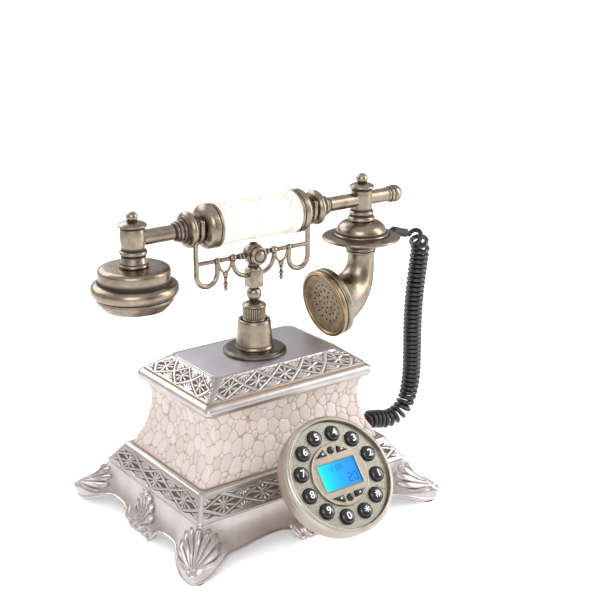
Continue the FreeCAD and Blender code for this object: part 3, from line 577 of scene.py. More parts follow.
def tube_mesh(path, radius, steps=12, closed=False):
    """Points and faces of a round bar along a line, with rounded ends when it is open."""
    path = np.array(path, float)
    radius = np.broadcast_to(np.array(radius, float), (len(path),)).copy()
    if closed:
        tangent = np.roll(path, -1, axis=0) - np.roll(path, 1, axis=0)
    else:
        tangent = np.gradient(path, axis=0)
    tangent /= np.linalg.norm(tangent, axis=1, keepdims=True)
    side = np.cross(tangent[0], (0.0, 0.0, 1.0))
    if np.linalg.norm(side) < 0.1:
        side = np.cross(tangent[0], (0.0, 1.0, 0.0))
    sides = []
    for along in tangent:
        if closed:
            side = np.cross(along, (0.0, 0.0, 1.0))
        side = side - along * np.dot(side, along)
        side = side / np.linalg.norm(side)
        sides.append(side)
    sides = np.array(sides)
    ups = np.cross(tangent, sides)
    if not closed:
        cap = np.radians([80, 60, 35])
        before = [path[0] - tangent[0] * radius[0] * math.sin(a) * 0.8 for a in cap]
        after = [path[-1] + tangent[-1] * radius[-1] * math.sin(a) * 0.8 for a in cap[::-1]]
        path = np.vstack([before, path, after])
        radius = np.concatenate([radius[0] * np.cos(cap), radius, radius[-1] * np.cos(cap[::-1])])
        sides = np.vstack([[sides[0]] * 3, sides, [sides[-1]] * 3])
        ups = np.vstack([[ups[0]] * 3, ups, [ups[-1]] * 3])
    angle = np.arange(steps) * 2 * np.pi / steps
    ring = (np.cos(angle)[None, :, None] * sides[:, None, :]
            + np.sin(angle)[None, :, None] * ups[:, None, :])
    points = (path[:, None, :] + ring * radius[:, None, None]).reshape(-1, 3)
    faces = grid_faces(len(path), steps, closed)
    if not closed:
        faces.append(list(range(steps)))
        faces.append(list(range(len(points) - steps, len(points))))
    return points, faces


def gathered(parts):
    """Several (points, faces) meshes as one."""
    points, faces, count = [], [], 0
    for part_points, part_faces in parts:
        points.append(np.asarray(part_points))
        faces += [[i + count for i in face] for face in part_faces]
        count += len(part_points)
    return np.vstack(points), faces


def hull_piece(name, points, material, body, replaced=(), bevel=0.5):
    """A convex block with bevelled edges."""
    work = bmesh.new()
    for point in points:
        work.verts.new(point)
    bmesh.ops.convex_hull(work, input=work.verts)
    bmesh.ops.dissolve_limit(work, angle_limit=0.02, verts=work.verts, edges=work.edges)
    bmesh.ops.bevel(work, geom=work.edges[:], offset=bevel, segments=3, profile=0.6,
                    affect="EDGES")
    work.verts.index_update()
    spots = [tuple(v.co) for v in work.verts]
    faces = [[v.index for v in f.verts] for f in work.faces]
    work.free()
    return make_piece(name, spots, faces, material, body, replaced, sharp=35)


def to_dial(points):
    """From the dial's own frame (x right, y up the face, z out) to its place."""
    points = np.asarray(points, float)
    turn = math.radians(90 - DIAL_TILT)
    y = points[..., 1] * math.cos(turn) - points[..., 2] * math.sin(turn)
    z = points[..., 1] * math.sin(turn) + points[..., 2] * math.cos(turn)
    return np.stack([points[..., 0], y, z], -1) + DIAL_CENTRE


DIAL_OUT = to_dial((0, 0, 1)) - DIAL_CENTRE


# ---- the curly cord ----
def smoothed(t):
    """Nought to one with eased ends."""
    t = np.clip(t, 0, 1)
    return t * t * (3 - 2 * t)


def route_points():
    """Points of the cord's smooth middle line, in millimetres."""
    curve = bpy.data.curves.new("cord_line", "CURVE")
    curve.dimensions = "3D"
    curve.resolution_u = 24
    spline = curve.splines.new("NURBS")
    spline.points.add(len(CORD_ROUTE) - 1)
    for point, spot in zip(spline.points, CORD_ROUTE):
        point.co = (*spot, 1.0)
    spline.order_u = 3
    spline.use_endpoint_u = True
    holder = bpy.data.objects.new("cord_line", curve)
    bpy.context.scene.collection.objects.link(holder)
    bpy.context.view_layer.update()
    mesh = bpy.data.meshes.new_from_object(holder)
    points = np.array([v.co for v in mesh.vertices]) * 1000.0
    bpy.data.objects.remove(holder)
    bpy.data.curves.remove(curve)
    bpy.data.meshes.remove(mesh)
    return points


def make_cord(materials):
    """The coiled lead: its wire winds round the middle line, opening where the line bends."""
    line = route_points()
    runs = np.linalg.norm(np.diff(line, axis=0), axis=1)
    along = np.concatenate([[0], np.cumsum(runs)])
    total = along[-1]
    place = np.arange(0.0, total, 0.2)
    centre = np.stack([np.interp(place, along, line[:, k]) for k in range(3)], -1)
    window = np.hanning(31) / np.hanning(31).sum()
    ahead = np.gradient(centre, axis=0)
    ahead = np.stack([np.convolve(np.pad(ahead[:, k], 15, "edge"), window, "valid")
                      for k in range(3)], -1)
    ahead /= np.linalg.norm(ahead, axis=1, keepdims=True)
    bend = np.linalg.norm(np.gradient(ahead, 0.2, axis=0), axis=1)
    bend = np.convolve(np.pad(bend, 15, "edge"), window, "valid")
    open_up = np.maximum(1.0 - (COIL_R + 0.4) * bend, 0.35)
    pitch = 2.06 * WIRE_R / open_up
    lead = smoothed(np.minimum(place, place[-1] - place) / 12.0)
    rate = 2 * np.pi / pitch * lead ** 2
    angle = np.concatenate([[0], np.cumsum(0.2 * rate[:-1])])
    side = np.array((0.0, 1.0, 0.0))
    sides = []
    for direction in ahead:
        side = side - direction * np.dot(side, direction)
        side = side / np.linalg.norm(side)
        sides.append(side)
    sides = np.array(sides)
    pace = angle + place * 0.5
    spots = np.interp(np.arange(0.0, pace[-1], 2 * np.pi / 14), pace, place)
    turn = np.interp(spots, place, angle)[:, None]
    index = np.minimum((spots / 0.2).astype(int), len(place) - 1)
    middle = np.stack([np.interp(spots, place, centre[:, k]) for k in range(3)], -1)
    reach = COIL_R * np.interp(spots, place, lead)[:, None]
    up = np.cross(ahead[index], sides[index])
    path = middle + reach * (np.cos(turn) * sides[index] + np.sin(turn) * up)
    points, faces = tube_mesh(path, WIRE_R, 10)
    cord = make_piece("curly_cord", points, faces, materials["vinyl"], None, sharp=80)
    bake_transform(cord)
    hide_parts("handset_cord")


# ---- turned metal ----
def band(center, width):
    """A gilt line across a turned piece, by height."""
    return lambda height: np.exp(-((height - center) / width) ** 2)


def collar_ground(angle, height, radius):
    """The blackened ground between the collar's ribs."""
    return 0.0 * height, 1.0 * ((height > 131.2) & (height < 138.5))


def make_post(materials):
    """The washer, the cone and the knurled collar that the cradle stands on."""
    turned("flange", [(5.2, 107.7), (20.4, 107.7), (21.0, 108.3), (21.0, 109.4), (20.2, 109.9),
                      (19.6, 110.1), (19.2, 110.6), (12.0, 110.7), (5.2, 110.7)],
           materials["dark_bronze"], BASE, ["post_flange"], steps=128, cut=0.3)
    turned("cone", [(3.5, 99.0), (5.0, 99.0), (5.0, 110.6), (12.6, 110.6), (12.9, 111.2),
                    (12.6, 112.2), (12.2, 112.9), (12.1, 114.0), (11.5, 122.0, 4), (10.9, 128.8),
                    (10.6, 129.4), (10.6, 130.0), (10.2, 130.3), (8.8, 130.3), (8.7, 129.6),
                    (8.7, 113.0), (3.5, 113.0)],
           materials["bronze"], BASE, ["post_socket"], steps=128)
    turned("stem", [(0, 84.0), (3.4, 84.0), (3.4, 122.6), (7.4, 122.6), (7.9, 123.2),
                    (7.9, 130.6), (7.1, 131.0), (7.1, 138.6), (7.9, 139.0), (8.1, 139.6),
                    (7.4, 140.4), (6.6, 140.6), (6.2, 141.2), (4.0, 141.6, 1), (3.0, 142.4),
                    (3.1, 143.2), (4.2, 144.4, 9), (4.9, 146.0, 9), (4.9, 148.6, 9),
                    (4.0, 150.4, 9), (2.6, 151.5), (2.4, 152.4), (0, 152.4)],
           materials["bronze"], CRADLE, ["cradle_stem"], ripple=collar_ground)
    w, d = 4.7, 4.1
    corners = [(sx * w, sy * d, z) for sx in (-1, 1) for sy in (-1, 1) for z in (152.2, 164.0)]
    hull_piece("block", corners + [(0, -5.0, 158.0)], materials["bronze"], CRADLE, bevel=0.4)
    turned("block_neck", [(0, 163.6), (4.8, 163.8), (4.9, 164.8), (4.0, 165.6), (3.5, 166.6),
                          (3.4, 169.0), (0, 169.0)], materials["bronze"], CRADLE)


def make_knurls(materials):
    """Upright half-round ribs round the collar, placed by a node tree."""
    tree = bpy.data.node_groups.new("rib_ring", "GeometryNodeTree")
    for name, kind in (("Count", "NodeSocketInt"), ("Ring Radius", "NodeSocketFloat"),
                       ("Rib Radius", "NodeSocketFloat"), ("Bottom", "NodeSocketVector"),
                       ("Height", "NodeSocketFloat")):
        tree.interface.new_socket(name, in_out="INPUT", socket_type=kind)
    tree.interface.new_socket("Geometry", in_out="OUTPUT", socket_type="NodeSocketGeometry")
    given = add(tree, "NodeGroupInput").outputs
    top = add(tree, "ShaderNodeCombineXYZ", None, {"Z": given["Height"]})
    line = add(tree, "GeometryNodeCurvePrimitiveLine", None, {"End": top.outputs[0]})
    outline = add(tree, "GeometryNodeCurvePrimitiveCircle", {"mode": "RADIUS"},
                  {"Resolution": 8, "Radius": given["Rib Radius"]})
    rib = add(tree, "GeometryNodeCurveToMesh", None,
              {"Curve": line.outputs[0], "Profile Curve": outline.outputs[0], "Fill Caps": True})
    ring = add(tree, "GeometryNodeMeshCircle", None,
               {"Vertices": given["Count"], "Radius": given["Ring Radius"]})
    placed = add(tree, "GeometryNodeInstanceOnPoints", None,
                 {"Points": ring.outputs[0], "Instance": rib.outputs[0]})
    real = add(tree, "GeometryNodeRealizeInstances", None, {"Geometry": placed.outputs[0]})
    moved = add(tree, "GeometryNodeTransform", None,
                {"Geometry": real.outputs[0], "Translation": given["Bottom"]})
    smooth = add(tree, "GeometryNodeSetShadeSmooth", None, {0: moved.outputs[0]})
    coated = add(tree, "GeometryNodeSetMaterial", None,
                 {"Geometry": smooth.outputs[0], "Material": materials["bronze"]})
    add(tree, "NodeGroupOutput", None, {"Geometry": coated.outputs[0]})
    values = {"Count": 38, "Ring Radius": 0.0072, "Rib Radius": 0.00042,
              "Bottom": tuple(in_frame((0, 0, 131.1))), "Height": 0.0074}
    settle(grown_from(tree, "collar_ribs", values), CRADLE, [])


def grown_from(tree, name, values):
    """The plain mesh that a node tree makes with the given values."""
    holder = bpy.data.objects.new(name + "_maker", bpy.data.meshes.new(name + "_maker"))
    bpy.context.scene.collection.objects.link(holder)
    modifier = holder.modifiers.new("maker", "NODES")
    modifier.node_group = tree
    for item in tree.interface.items_tree:
        if item.in_out == "INPUT" and item.name in values:
            modifier[item.identifier] = values[item.name]
    bpy.context.view_layer.update()
    graph = bpy.context.evaluated_depsgraph_get()
    mesh = bpy.data.meshes.new_from_object(holder.evaluated_get(graph))
    bpy.data.objects.remove(holder)
    for index in reversed(range(len(mesh.materials))):
        if mesh.materials[index] is None:
            mesh.materials.pop(index=index)
    piece = bpy.data.objects.new(name, mesh)
    bpy.context.scene.collection.objects.link(piece)
    return piece


SEAT_R = 8.9
SIDES = ((-1, "left"), (1, "right"))


def arc_points(middle, radius, degrees):
    """Points on an arc below its middle, at the given angles."""
    return [(middle[0] + radius * math.cos(math.radians(turn)),
             middle[1] - radius * math.sin(math.radians(turn))) for turn in degrees]


def make_cradle(materials):
    """The hub, the cross bar with its beads, and the two hooks."""
    bronze = materials["bronze"]
    half = [(0, 0), (1.45, 0), (1.45, 7.4), (2.2, 7.6), (2.3, 8.4), (2.1, 9.0), (1.5, 9.3),
            (1.5, 10.0), (2.1, 10.2), (2.3, 10.8), (2.1, 11.4), (1.5, 11.7), (1.4, 13.4),
            (2.1, 14.1, 9), (2.6, 15.2, 9), (2.6, 16.8, 9), (2.1, 17.9, 9), (1.4, 18.6),
            (1.4, 26.2), (1.9, 26.7, 9), (2.1, 28.0, 9), (1.9, 29.3, 9), (1.35, 29.8),
            (1.35, 43.6), (0, 43.6)]
    for side, label in SIDES:
        turned("bar_" + label, half, bronze, CRADLE, ["cradle_bar"], (0, 0, BAR_Z),
               (side, 0, 0), 40)
    turned("hub", [(0, -7.2), (2.4, -6.9, 9), (4.6, -5.7, 9), (6.6, -3.2, 9), (7.3, 0, 9),
                   (6.9, 2.6, 9), (5.9, 4.4), (5.6, 5.2), (5.9, 5.8), (6.1, 6.6), (6.0, 7.4),
                   (5.4, 8.0), (4.6, 8.0), (4.2, 7.5), (3.2, 7.8, 9), (1.6, 8.3, 9), (0, 8.4)],
           bronze, CRADLE, base=(0, 0, BAR_Z), axis=(0, -1, 0), steps=64)
    # A small black disc on top of the hub, just under the grip.
    turned("hub_top_disc", [(0, 180.6), (2.5, 180.6), (2.6, 181.4), (2.0, 181.9), (0, 182.1)],
           materials["black"], CRADLE, steps=32)
    mid = (HOOK_X + HOOK_INNER_X) / 2
    bend = (HOOK_X - HOOK_INNER_X) / 2
    low = 158.5 + bend
    for side, label in SIDES:
        hook_line = [(HOOK_X, 189.4), (HOOK_X, 184.0), (HOOK_X, 176.0), (HOOK_X, low + 2)]
        hook_line += arc_points((mid, low), bend, range(0, 181, 20))
        hook_line += [(HOOK_INNER_X, low + 3), (HOOK_INNER_X, BAR_Z - 0.5)]
        path = spread([(side * x, 0, z) for x, z in hook_line], 0.7)
        widths = 1.7 + 0.15 * np.exp(-((path[:, 2] - 189.0) / 2.5) ** 2)
        parts = [tube_mesh(path, widths, 16)]
        yoke = [(-SEAT_R, 203.6), (-SEAT_R, 199.5)]
        yoke += arc_points((0, HANDSET_Z - 0.2), SEAT_R, range(180, -1, -15))
        yoke += [(SEAT_R, 199.5), (SEAT_R, 203.6)]
        path = spread([(side * HOOK_X, y, z) for y, z in yoke], 0.7)
        parts.append(tube_mesh(path, 1.6, 16))
        arc = [(BEAD_X, BAR_Z - 1.5), (BEAD_X, 171.5)]
        arc += arc_points((5.0, 171.5), BEAD_X - 5.0, range(10, 91, 16))
        rods = [(arc, 1.5, 14)]
        for x in (BEAD_X, HOOK_INNER_X):
            lean = 1 if x > FINIAL_X else -1
            rods.append(([(x - lean * 0.8, 172.6), (FINIAL_X + lean * 3.2, 167.6),
                          (FINIAL_X + lean * 0.6, 165.6)], 0.85, 10))
        for line, radius, steps in rods:
            path = spread([(side * a, 0, z) for a, z in line], 0.7)
            parts.append(tube_mesh(path, radius, steps))
        points, faces = gathered(parts)
        make_piece("hook_" + label, points, faces, bronze, CRADLE, [label + "_hook"])
        turned("finial_" + label,
               [(0, 153.0), (0.8, 153.4), (1.2, 154.4, 9), (1.5, 155.4, 9), (0.9, 156.2),
                (0.8, 156.8), (1.7, 157.3), (1.8, 158.3), (0.9, 158.9), (0.9, 159.6),
                (1.3, 161.0, 9), (1.1, 162.6), (1.8, 163.2), (2.0, 164.2), (1.9, 165.4),
                (1.0, 166.3), (0, 166.4)], bronze, CRADLE, base=(side * FINIAL_X, 0, 0), steps=32)


def make_handset(materials):
    """Grip, arms, posts, earpiece and mouthpiece."""
    bronze = materials["bronze"]
    make_grip(materials)
    arm = [(3.2, 30.0), (14.0, 30.0), (14.4, 30.6), (14.4, 31.6), (13.9, 32.0), (13.9, 32.5),
           (14.3, 32.9), (14.3, 36.4), (13.9, 37.5, 1), (12.9, 38.7, 2), (11.2, 39.8, 2),
           (8.8, 40.6, 1), (5.6, 40.9), (5.6, 45.9), (9.0, 46.2), (10.6, 46.8, 2),
           (11.7, 48.4, 2), (11.7, 49.8, 2), (10.7, 51.3, 2), (9.2, 51.9), (8.7, 52.2),
           (7.6, 52.6, 1), (6.8, 54.0, 1), (6.4, 54.9), (6.9, 55.3), (6.9, 56.6), (6.2, 57.0),
           (5.7, 57.2), (6.1, 57.7), (6.1, 58.5), (5.2, 58.9), (4.8, 59.6)]
    turned("left_tube", arm + [(4.8, 81.5), (3.2, 81.5)], bronze, HANDSET, ["left_arm"],
           (0, 0, HANDSET_Z), (-1, 0, 0))
    knob = [(4.8, 110.8), (5.1, 111.2), (5.1, 112.2), (4.9, 112.6), (5.6, 113.0), (5.8, 113.6),
            (5.8, 114.6), (5.4, 115.0), (5.4, 115.4), (5.8, 115.8), (6.0, 117.0, 2),
            (5.9, 119.0, 3), (5.0, 121.2, 3), (3.0, 122.3, 3)]
    end = [(0.002, 122.5), (0.002, 30.0)]
    turned("right_tube", arm + knob + end, bronze, HANDSET, ["right_arm"],
           (0, 0, HANDSET_Z), (1, 0, 0))
    turned("left_post", [(0, 180.6), (8.2, 180.8), (9.2, 181.6), (9.2, 182.6), (8.6, 183.2),
                         (8.0, 186.0, 2), (7.5, 188.2), (7.7, 188.7), (8.4, 189.0), (8.6, 189.7),
                         (8.6, 190.6), (8.2, 191.2), (7.2, 191.7), (7.1, 192.4), (7.7, 196.5, 4),
                         (8.0, 200.0, 4), (7.7, 204.0, 4), (7.4, 205.4), (7.6, 205.9),
                         (8.7, 206.2), (9.0, 206.9), (8.7, 207.5), (7.6, 208.2, 1),
                         (5.4, 209.0, 2), (2.9, 209.3), (2.7, 209.8), (3.4, 210.6, 9),
                         (3.7, 212.2, 9), (3.2, 213.9, 9), (1.7, 215.1, 9), (0, 215.4)],
           bronze, HANDSET, ["left_post"], (LEFT_X, 0, 0))
    turned("right_post", [(0, 183.0), (8.8, 183.4), (9.2, 184.2), (9.2, 185.4), (8.8, 186.0),
                          (8.2, 186.6), (8.0, 187.8), (8.3, 188.2), (8.4, 189.4), (8.0, 190.0),
                          (7.4, 190.4), (7.1, 191.6), (7.2, 200.0), (7.1, 205.0), (7.4, 205.6),
                          (8.2, 206.0), (8.5, 206.7), (8.3, 207.4), (7.0, 208.2, 1),
                          (5.2, 209.0, 2), (3.1, 209.3), (2.9, 209.8), (3.7, 210.6, 9),
                          (4.1, 212.2, 9), (3.5, 214.2, 9), (1.9, 215.5, 9), (0, 215.8)],
           bronze, HANDSET, ["right_post"], (RIGHT_X, 0, 0))
    turned("ear_bell", [(0, 181.0), (19.2, 181.0, 1), (21.2, 180.6, 2), (22.3, 179.4, 2),
                        (22.5, 177.8, 2), (22.3, 172.2), (22.7, 171.6), (24.4, 171.2, 1),
                        (26.3, 170.2, 2), (27.2, 168.2, 2), (27.2, 166.2, 2), (26.4, 164.4, 2),
                        (24.9, 163.2), (21.5, 162.6), (21.5, 168.0), (19.8, 171.0), (19.8, 176.4),
                        (17.6, 178.2), (0, 178.2)],
           bronze, HANDSET, ["earpiece_shell"], (LEFT_X, 0, 0), steps=144)
    turned("saucer", [(0, 183.4), (9.4, 183.2, 1), (12.8, 182.2, 3), (15.6, 180.0, 3),
                      (17.0, 177.4, 3), (17.2, 175.4), (17.5, 174.9), (18.4, 174.7),
                      (18.8, 174.2), (18.8, 173.6), (19.4, 173.3), (22.6, 173.0, 2),
                      (25.6, 172.6, 2), (27.1, 171.6, 1.2), (26.8, 170.6, 1.2), (24.8, 169.6, 2),
                      (19.6, 168.3, 3), (13.6, 166.9, 3), (10.6, 165.2, 2), (10.1, 164.4),
                      (10.1, 163.8), (0, 163.6)],
           bronze, HANDSET, ["saucer"], (RIGHT_X, 0, 0), steps=144)
    make_mouthpiece(materials)


def make_grip(materials):
    """The cream grip with its low carving: a leaf collar at each end and a sprig between."""
    def carved(angle, height, radius):
        from_end = 28.6 - np.abs(height)
        lobe = np.abs(np.cos(angle * 6))
        tip = 3.0 + 4.5 * lobe ** 0.7
        leaf = np.clip((tip - from_end) / 0.9, 0, 1)
        vein = np.clip(1 - np.abs(np.sin(angle * 6)) * 6.0 / 1.2, 0, 1)
        vein = vein * np.clip(from_end / 2, 0, 1)
        turn = (angle + 0.7) % (np.pi / 2) - np.pi / 4
        across = turn * radius
        from_sprig = (5.2 * np.abs(np.cos(2 * np.arctan2(across, height))) ** 0.6
                      - np.hypot(across, height))
        sprig = np.clip(from_sprig / 0.9, 0, 1)
        raised = np.maximum(leaf * (1 - 0.6 * vein), sprig * 0.8)
        inside = np.abs(height) < 29.0
        edge = np.exp(-((tip - from_end + 0.4) / 0.5) ** 2)
        edge = edge + np.exp(-(from_sprig / 0.45) ** 2) * 0.7
        return 0.5 * raised * inside, np.clip(edge, 0, 1) * inside * 0.9
    rows = [(4.0, -30.0), (13.9, -30.0), (14.2, -29.2)]
    rows += [(13.1 + 0.7 * (abs(height) / 29.0) ** 2, float(height), 0.2)
             for height in np.arange(-28.6, 28.7, 0.55)]
    rows += [(14.2, 29.2), (13.9, 30.0), (4.0, 30.0)]
    turned("grip", rows, materials["resin"], HANDSET, ["grip"], (0, 0, HANDSET_Z), (1, 0, 0),
           steps=150, ripple=carved, cut=0.2)


def make_mouthpiece(materials):
    """The curved horn, its collars, and the ring-shaped cup."""
    bronze = materials["bronze"]
    tilt = math.radians(MOUTH_TILT)
    back = np.array((math.cos(tilt), 0.0, math.sin(tilt)))
    spots = spread([(89.3, 163.9, 9.8, 0), (89.3, 160.6, 9.2, 0), (89.3, 156.0, 9.1, 1),
                    (88.6, 149.5, 9.8, 8), (86.3, 142.2, 11.4, 26), (81.4, 136.0, 13.8, 48),
                    (74.4, 131.9, 16.9, 69), (66.4, 130.0, 20.0, 81.1)], 0.9)
    steps = 96
    angle = np.arange(steps) * 2 * np.pi / steps
    rings, inner = [], []
    for x, z, radius, turn in spots:
        lean = math.radians(turn)
        across = np.array((math.cos(lean), 0.0, -math.sin(lean)))
        ring = (np.cos(angle)[:, None] * across + np.sin(angle)[:, None] * (0.0, 1.0, 0.0))
        rings.append(np.array((x, 0.0, z)) + radius * ring)
        inner.append(np.array((x, 0.0, z)) + (radius - 1.6) * ring)
    points = np.vstack(rings + inner[::-1])
    faces = grid_faces(2 * len(spots), steps, True)
    make_piece("horn", points, faces, bronze, HANDSET, ["mouth_horn"])
    turned("horn_collar", [(8.6, 160.4), (9.6, 160.4), (10.1, 160.9), (10.1, 161.9), (9.7, 162.3),
                           (9.7, 162.6), (10.3, 162.9), (10.5, 163.4), (10.3, 164.0), (8.6, 164.0)],
           bronze, HANDSET, base=(RIGHT_X, 0, 0))
    turned("mouth_ring", [(20.7, 1.0), (21.4, 0.2), (22.4, -0.2, 1), (23.4, 0.3, 1), (23.7, 1.4),
                          (23.7, 3.2), (23.3, 3.7), (22.9, 3.9), (22.9, 4.3), (23.3, 4.6),
                          (23.6, 5.2), (23.6, 8.4), (23.1, 9.4, 1), (21.6, 10.4, 1),
                          (18.0, 10.9), (18.0, 8.6), (20.4, 7.8), (20.7, 3.6)],
           bronze, HANDSET, ["mouth_cup"], MOUTH, back, 144, gilt=band(0.8, 1.7))


# ---- the base castings ----
FRONT, RIGHT, BACK, LEFT = 0, 1, 2, 3


class Border:
    """Points round a rounded rectangle, always the same number on each side and corner."""

    def __init__(self, long_count, short_count, corner_count):
        sides, shares, arcs = [], [], []
        for side in (FRONT, RIGHT, BACK, LEFT):
            count = long_count if side in (FRONT, BACK) else short_count
            sides += [side] * (count + corner_count)
            shares += list(np.linspace(-1, 1, count, endpoint=False))
            shares += [1.0] * corner_count
            arcs += [-1.0] * count
            arcs += list(np.arange(corner_count) / corner_count)
        self.side = np.array(sides)
        self.share = np.array(shares)
        self.arc = np.array(arcs)
        self.columns = len(sides)
        normal = np.array([(0, -1), (1, 0), (0, 1), (-1, 0)], float)
        along = np.array([(1, 0), (0, 1), (-1, 0), (0, -1)], float)
        self.normal, self.along = normal[self.side], along[self.side]

    def around(self, half_x, half_y, corner=CORNER_R):
        """Places and outward directions for a rectangle of this size."""
        half_out = np.where(self.side % 2 == 0, half_y, half_x)
        half_along = np.where(self.side % 2 == 0, half_x, half_y)
        angle = np.where(self.arc < 0, 0.0, self.arc) * np.pi / 2
        out = (np.cos(angle)[:, None] * self.normal + np.sin(angle)[:, None] * self.along)
        middle = (self.normal * (half_out - corner)[:, None]
                  + self.along * (self.share * (half_along - corner))[:, None])
        return middle + corner * out, out

    def level(self, half_x, half_y, z, corner=CORNER_R):
        """A row of points at one height."""
        return np.column_stack([self.around(half_x, half_y, corner)[0], np.full(self.columns, z)])

    def measures(self, half_x, half_y, corner=CORNER_R):
        """For each column: distance from its side's middle, and signed from the corner."""
        half_along = np.where(self.side % 2 == 0, half_x, half_y) - corner
        arc = np.where(self.arc < 0, 0.0, self.arc)
        turned_by = arc * np.pi / 2 * corner
        from_middle = self.share * half_along + turned_by
        half_arc = np.pi / 4 * corner
        from_end = (1 - self.share) * half_along
        from_start = (1 + self.share) * half_along
        near_end = from_end <= from_start
        to_corner = np.where(near_end, -(from_end + half_arc), from_start + half_arc)
        to_corner = np.where(self.arc < 0, to_corner, turned_by - half_arc)
        return from_middle, to_corner


def ridge(distance, width):
    """A raised line with a flat top, by the distance from its middle."""
    return smoothed((1 - distance / width) * 1.9)


def lozenge_band(along, rise, pitch, count, half_height, petals, ground):
    """Lozenges with a raised border, each holding a rosette, and fans of leaves between."""
    a, b = pitch / 2, half_height
    shift = 0.0 if count % 2 else 0.5
    index = np.clip(np.round(along / pitch - shift), -(count // 2), (count - 1) // 2)
    across = along - (index + shift) * pitch
    nearness = np.abs(across) / a + np.abs(rise) / b
    border = np.abs(nearness - 1) / math.hypot(1 / a, 1 / b)
    height = ridge(border, 1.15)
    reach = np.hypot(across, rise)
    angle = np.arctan2(rise * 1.25, across)
    wedge = 2 * np.pi / petals
    ray = np.abs((angle / wedge) % 1 - 0.5) * wedge
    petal = ridge(reach * np.sin(np.clip(ray, 0, 1.5)), 0.5 + 1.15 / petals * reach)
    petal = petal * smoothed((0.86 - nearness) / 0.08)
    boss = smoothed((1.5 - reach) / 0.6)
    inside = nearness < 1
    height = np.maximum(height, np.where(inside, np.maximum(petal * 0.9, boss), 0))
    fan_x = a - np.abs(across)
    fan_y = b - np.abs(rise)
    fan_reach = np.hypot(fan_x, fan_y)
    fan_angle = np.arctan2(fan_y, np.abs(fan_x))
    leaf = np.abs((fan_angle / math.radians(30) + 0.5) % 1 - 0.5) * math.radians(30)
    leaf = ridge(fan_reach * np.sin(leaf), 0.5 + 0.17 * fan_reach)
    leaf = leaf * smoothed((nearness - 1.17) / 0.10)
    return np.maximum(height, np.where(inside, 0, np.maximum(leaf * 0.9, ground)))


def fan(across, rise, reach, spread_angle, lobes, notch=0.22):
    """An upright fan of leaf lobes; gives its height, and how deep the grooves between are."""
    distance = np.hypot(across, rise)
    angle = np.arctan2(across, rise)
    place = angle / spread_angle * lobes / 2
    ripple = np.abs(np.cos(np.pi * place))
    inside = np.abs(angle) < spread_angle
    envelope = reach * (0.80 + 0.20 * np.cos(angle / spread_angle * np.pi / 2))
    tip = envelope * (1 - notch + notch * np.sqrt(ripple))
    body = smoothed((tip - distance) / 1.3)
    vein = smoothed((np.abs(((place + 0.5) % 1) - 0.5) * 2 - 0.0) / 0.16)
    height = body * (0.45 + 0.55 * ripple ** 0.6) * (0.86 + 0.14 * vein)
    curl = np.exp(-((distance - 0.84 * tip) / (0.12 * reach)) ** 2)
    height = height * (0.8 + 0.35 * curl)
    groove = inside * body * (1 - ripple) ** 1.5
    rim = inside * np.exp(-((distance - tip - 0.5) / 0.7) ** 2)
    return np.where(inside, height, 0), np.clip(groove * 1.2 + rim * 0.9, 0, 1)


def rows_piece(name, border, rows, material, replaced, layers, body=BASE, sharp=60):
    """A closed ring of rows round the base."""
    points = np.vstack(rows)
    faces = grid_faces(len(rows), border.columns, True)
    flat = {label: np.concatenate(values) for label, values in layers.items()}
    return make_piece(name, points, faces, material, body, replaced, flat, sharp)


def frieze(name, border, low, high, pitches, depth, rows_count, material, replaced,
           below=(), above=(), share=(0.06, 0.94), petals=10,
           ground=0.0, corners=(CORNER_R, CORNER_R)):
    """A sloping band of lozenges between two levels, closed by plain rows and an inner wall."""
    low_z, low_x, low_y = low
    high_z, high_x, high_y = high
    slope = math.hypot(low_y - high_y, high_z - low_z)
    out_tilt = np.array(((high_z - low_z) / slope, (low_y - high_y) / slope))
    mid = border.measures((low_x + high_x) / 2, (low_y + high_y) / 2)[0]
    rows, recess, gilt = [], [], []

    def plain(entries, corner):
        for z, x, y, groove, gold in entries:
            rows.append(border.level(x, y, z, corner))
            recess.append(np.full(border.columns, float(groove)))
            gilt.append(np.full(border.columns, float(gold)))

    plain(below, CORNER_R)
    for t in np.linspace(0, 1, rows_count):
        x, y, z = (low_x + (high_x - low_x) * t, low_y + (high_y - low_y) * t,
                   low_z + (high_z - low_z) * t)
        place, out = border.around(x, y, corners[0] + (corners[1] - corners[0]) * t)
        rise = (t - (share[0] + share[1]) / 2) * slope
        half = (share[1] - share[0]) * slope / 2
        height = np.zeros(border.columns)
        for side in (0, 1):
            chosen = border.side % 2 == side
            pitch, count = pitches[side]
            height[chosen] = lozenge_band(mid[chosen], rise, pitch, count, half, petals, ground)
            past = smoothed((np.abs(mid[chosen]) - pitch * count / 2 + 0.2) / 0.8)
            height[chosen] = np.maximum(height[chosen], past)
        edge = smoothed((abs(rise) - half + 0.1) / 0.5)
        height = np.maximum(height, edge)
        sink = -depth * (1 - height)
        rows.append(np.column_stack([place + out * (sink * out_tilt[0])[:, None],
                                     z + sink * out_tilt[1]]))
        recess.append(np.clip((0.72 - height) / 0.6, 0, 1))
        gilt.append(np.zeros(border.columns))
    plain(above, corners[1])
    return rows_piece(name, border, rows, material, replaced, {"recess": recess, "gilt": gilt})


def apron_edge(from_middle, to_corner):
    """Height of the apron's lower edge: a dip under each side's ornament, down to each toe."""
    plain = 9.6 + 1.2 * np.cos(np.clip(np.abs(from_middle) - 30, -30, 30) / 9.0)
    dip = 7.6 * smoothed((19.0 - np.abs(from_middle)) / 10.0)
    ripple = 0.8 * np.cos(from_middle * 1.12) * smoothed((24.0 - np.abs(from_middle)) / 3.0)
    foot = np.exp(-np.abs(to_corner / 14.0) ** 3)
    return np.maximum((plain - dip + ripple) * (1 - foot) + 1.3 * foot, 1.3)


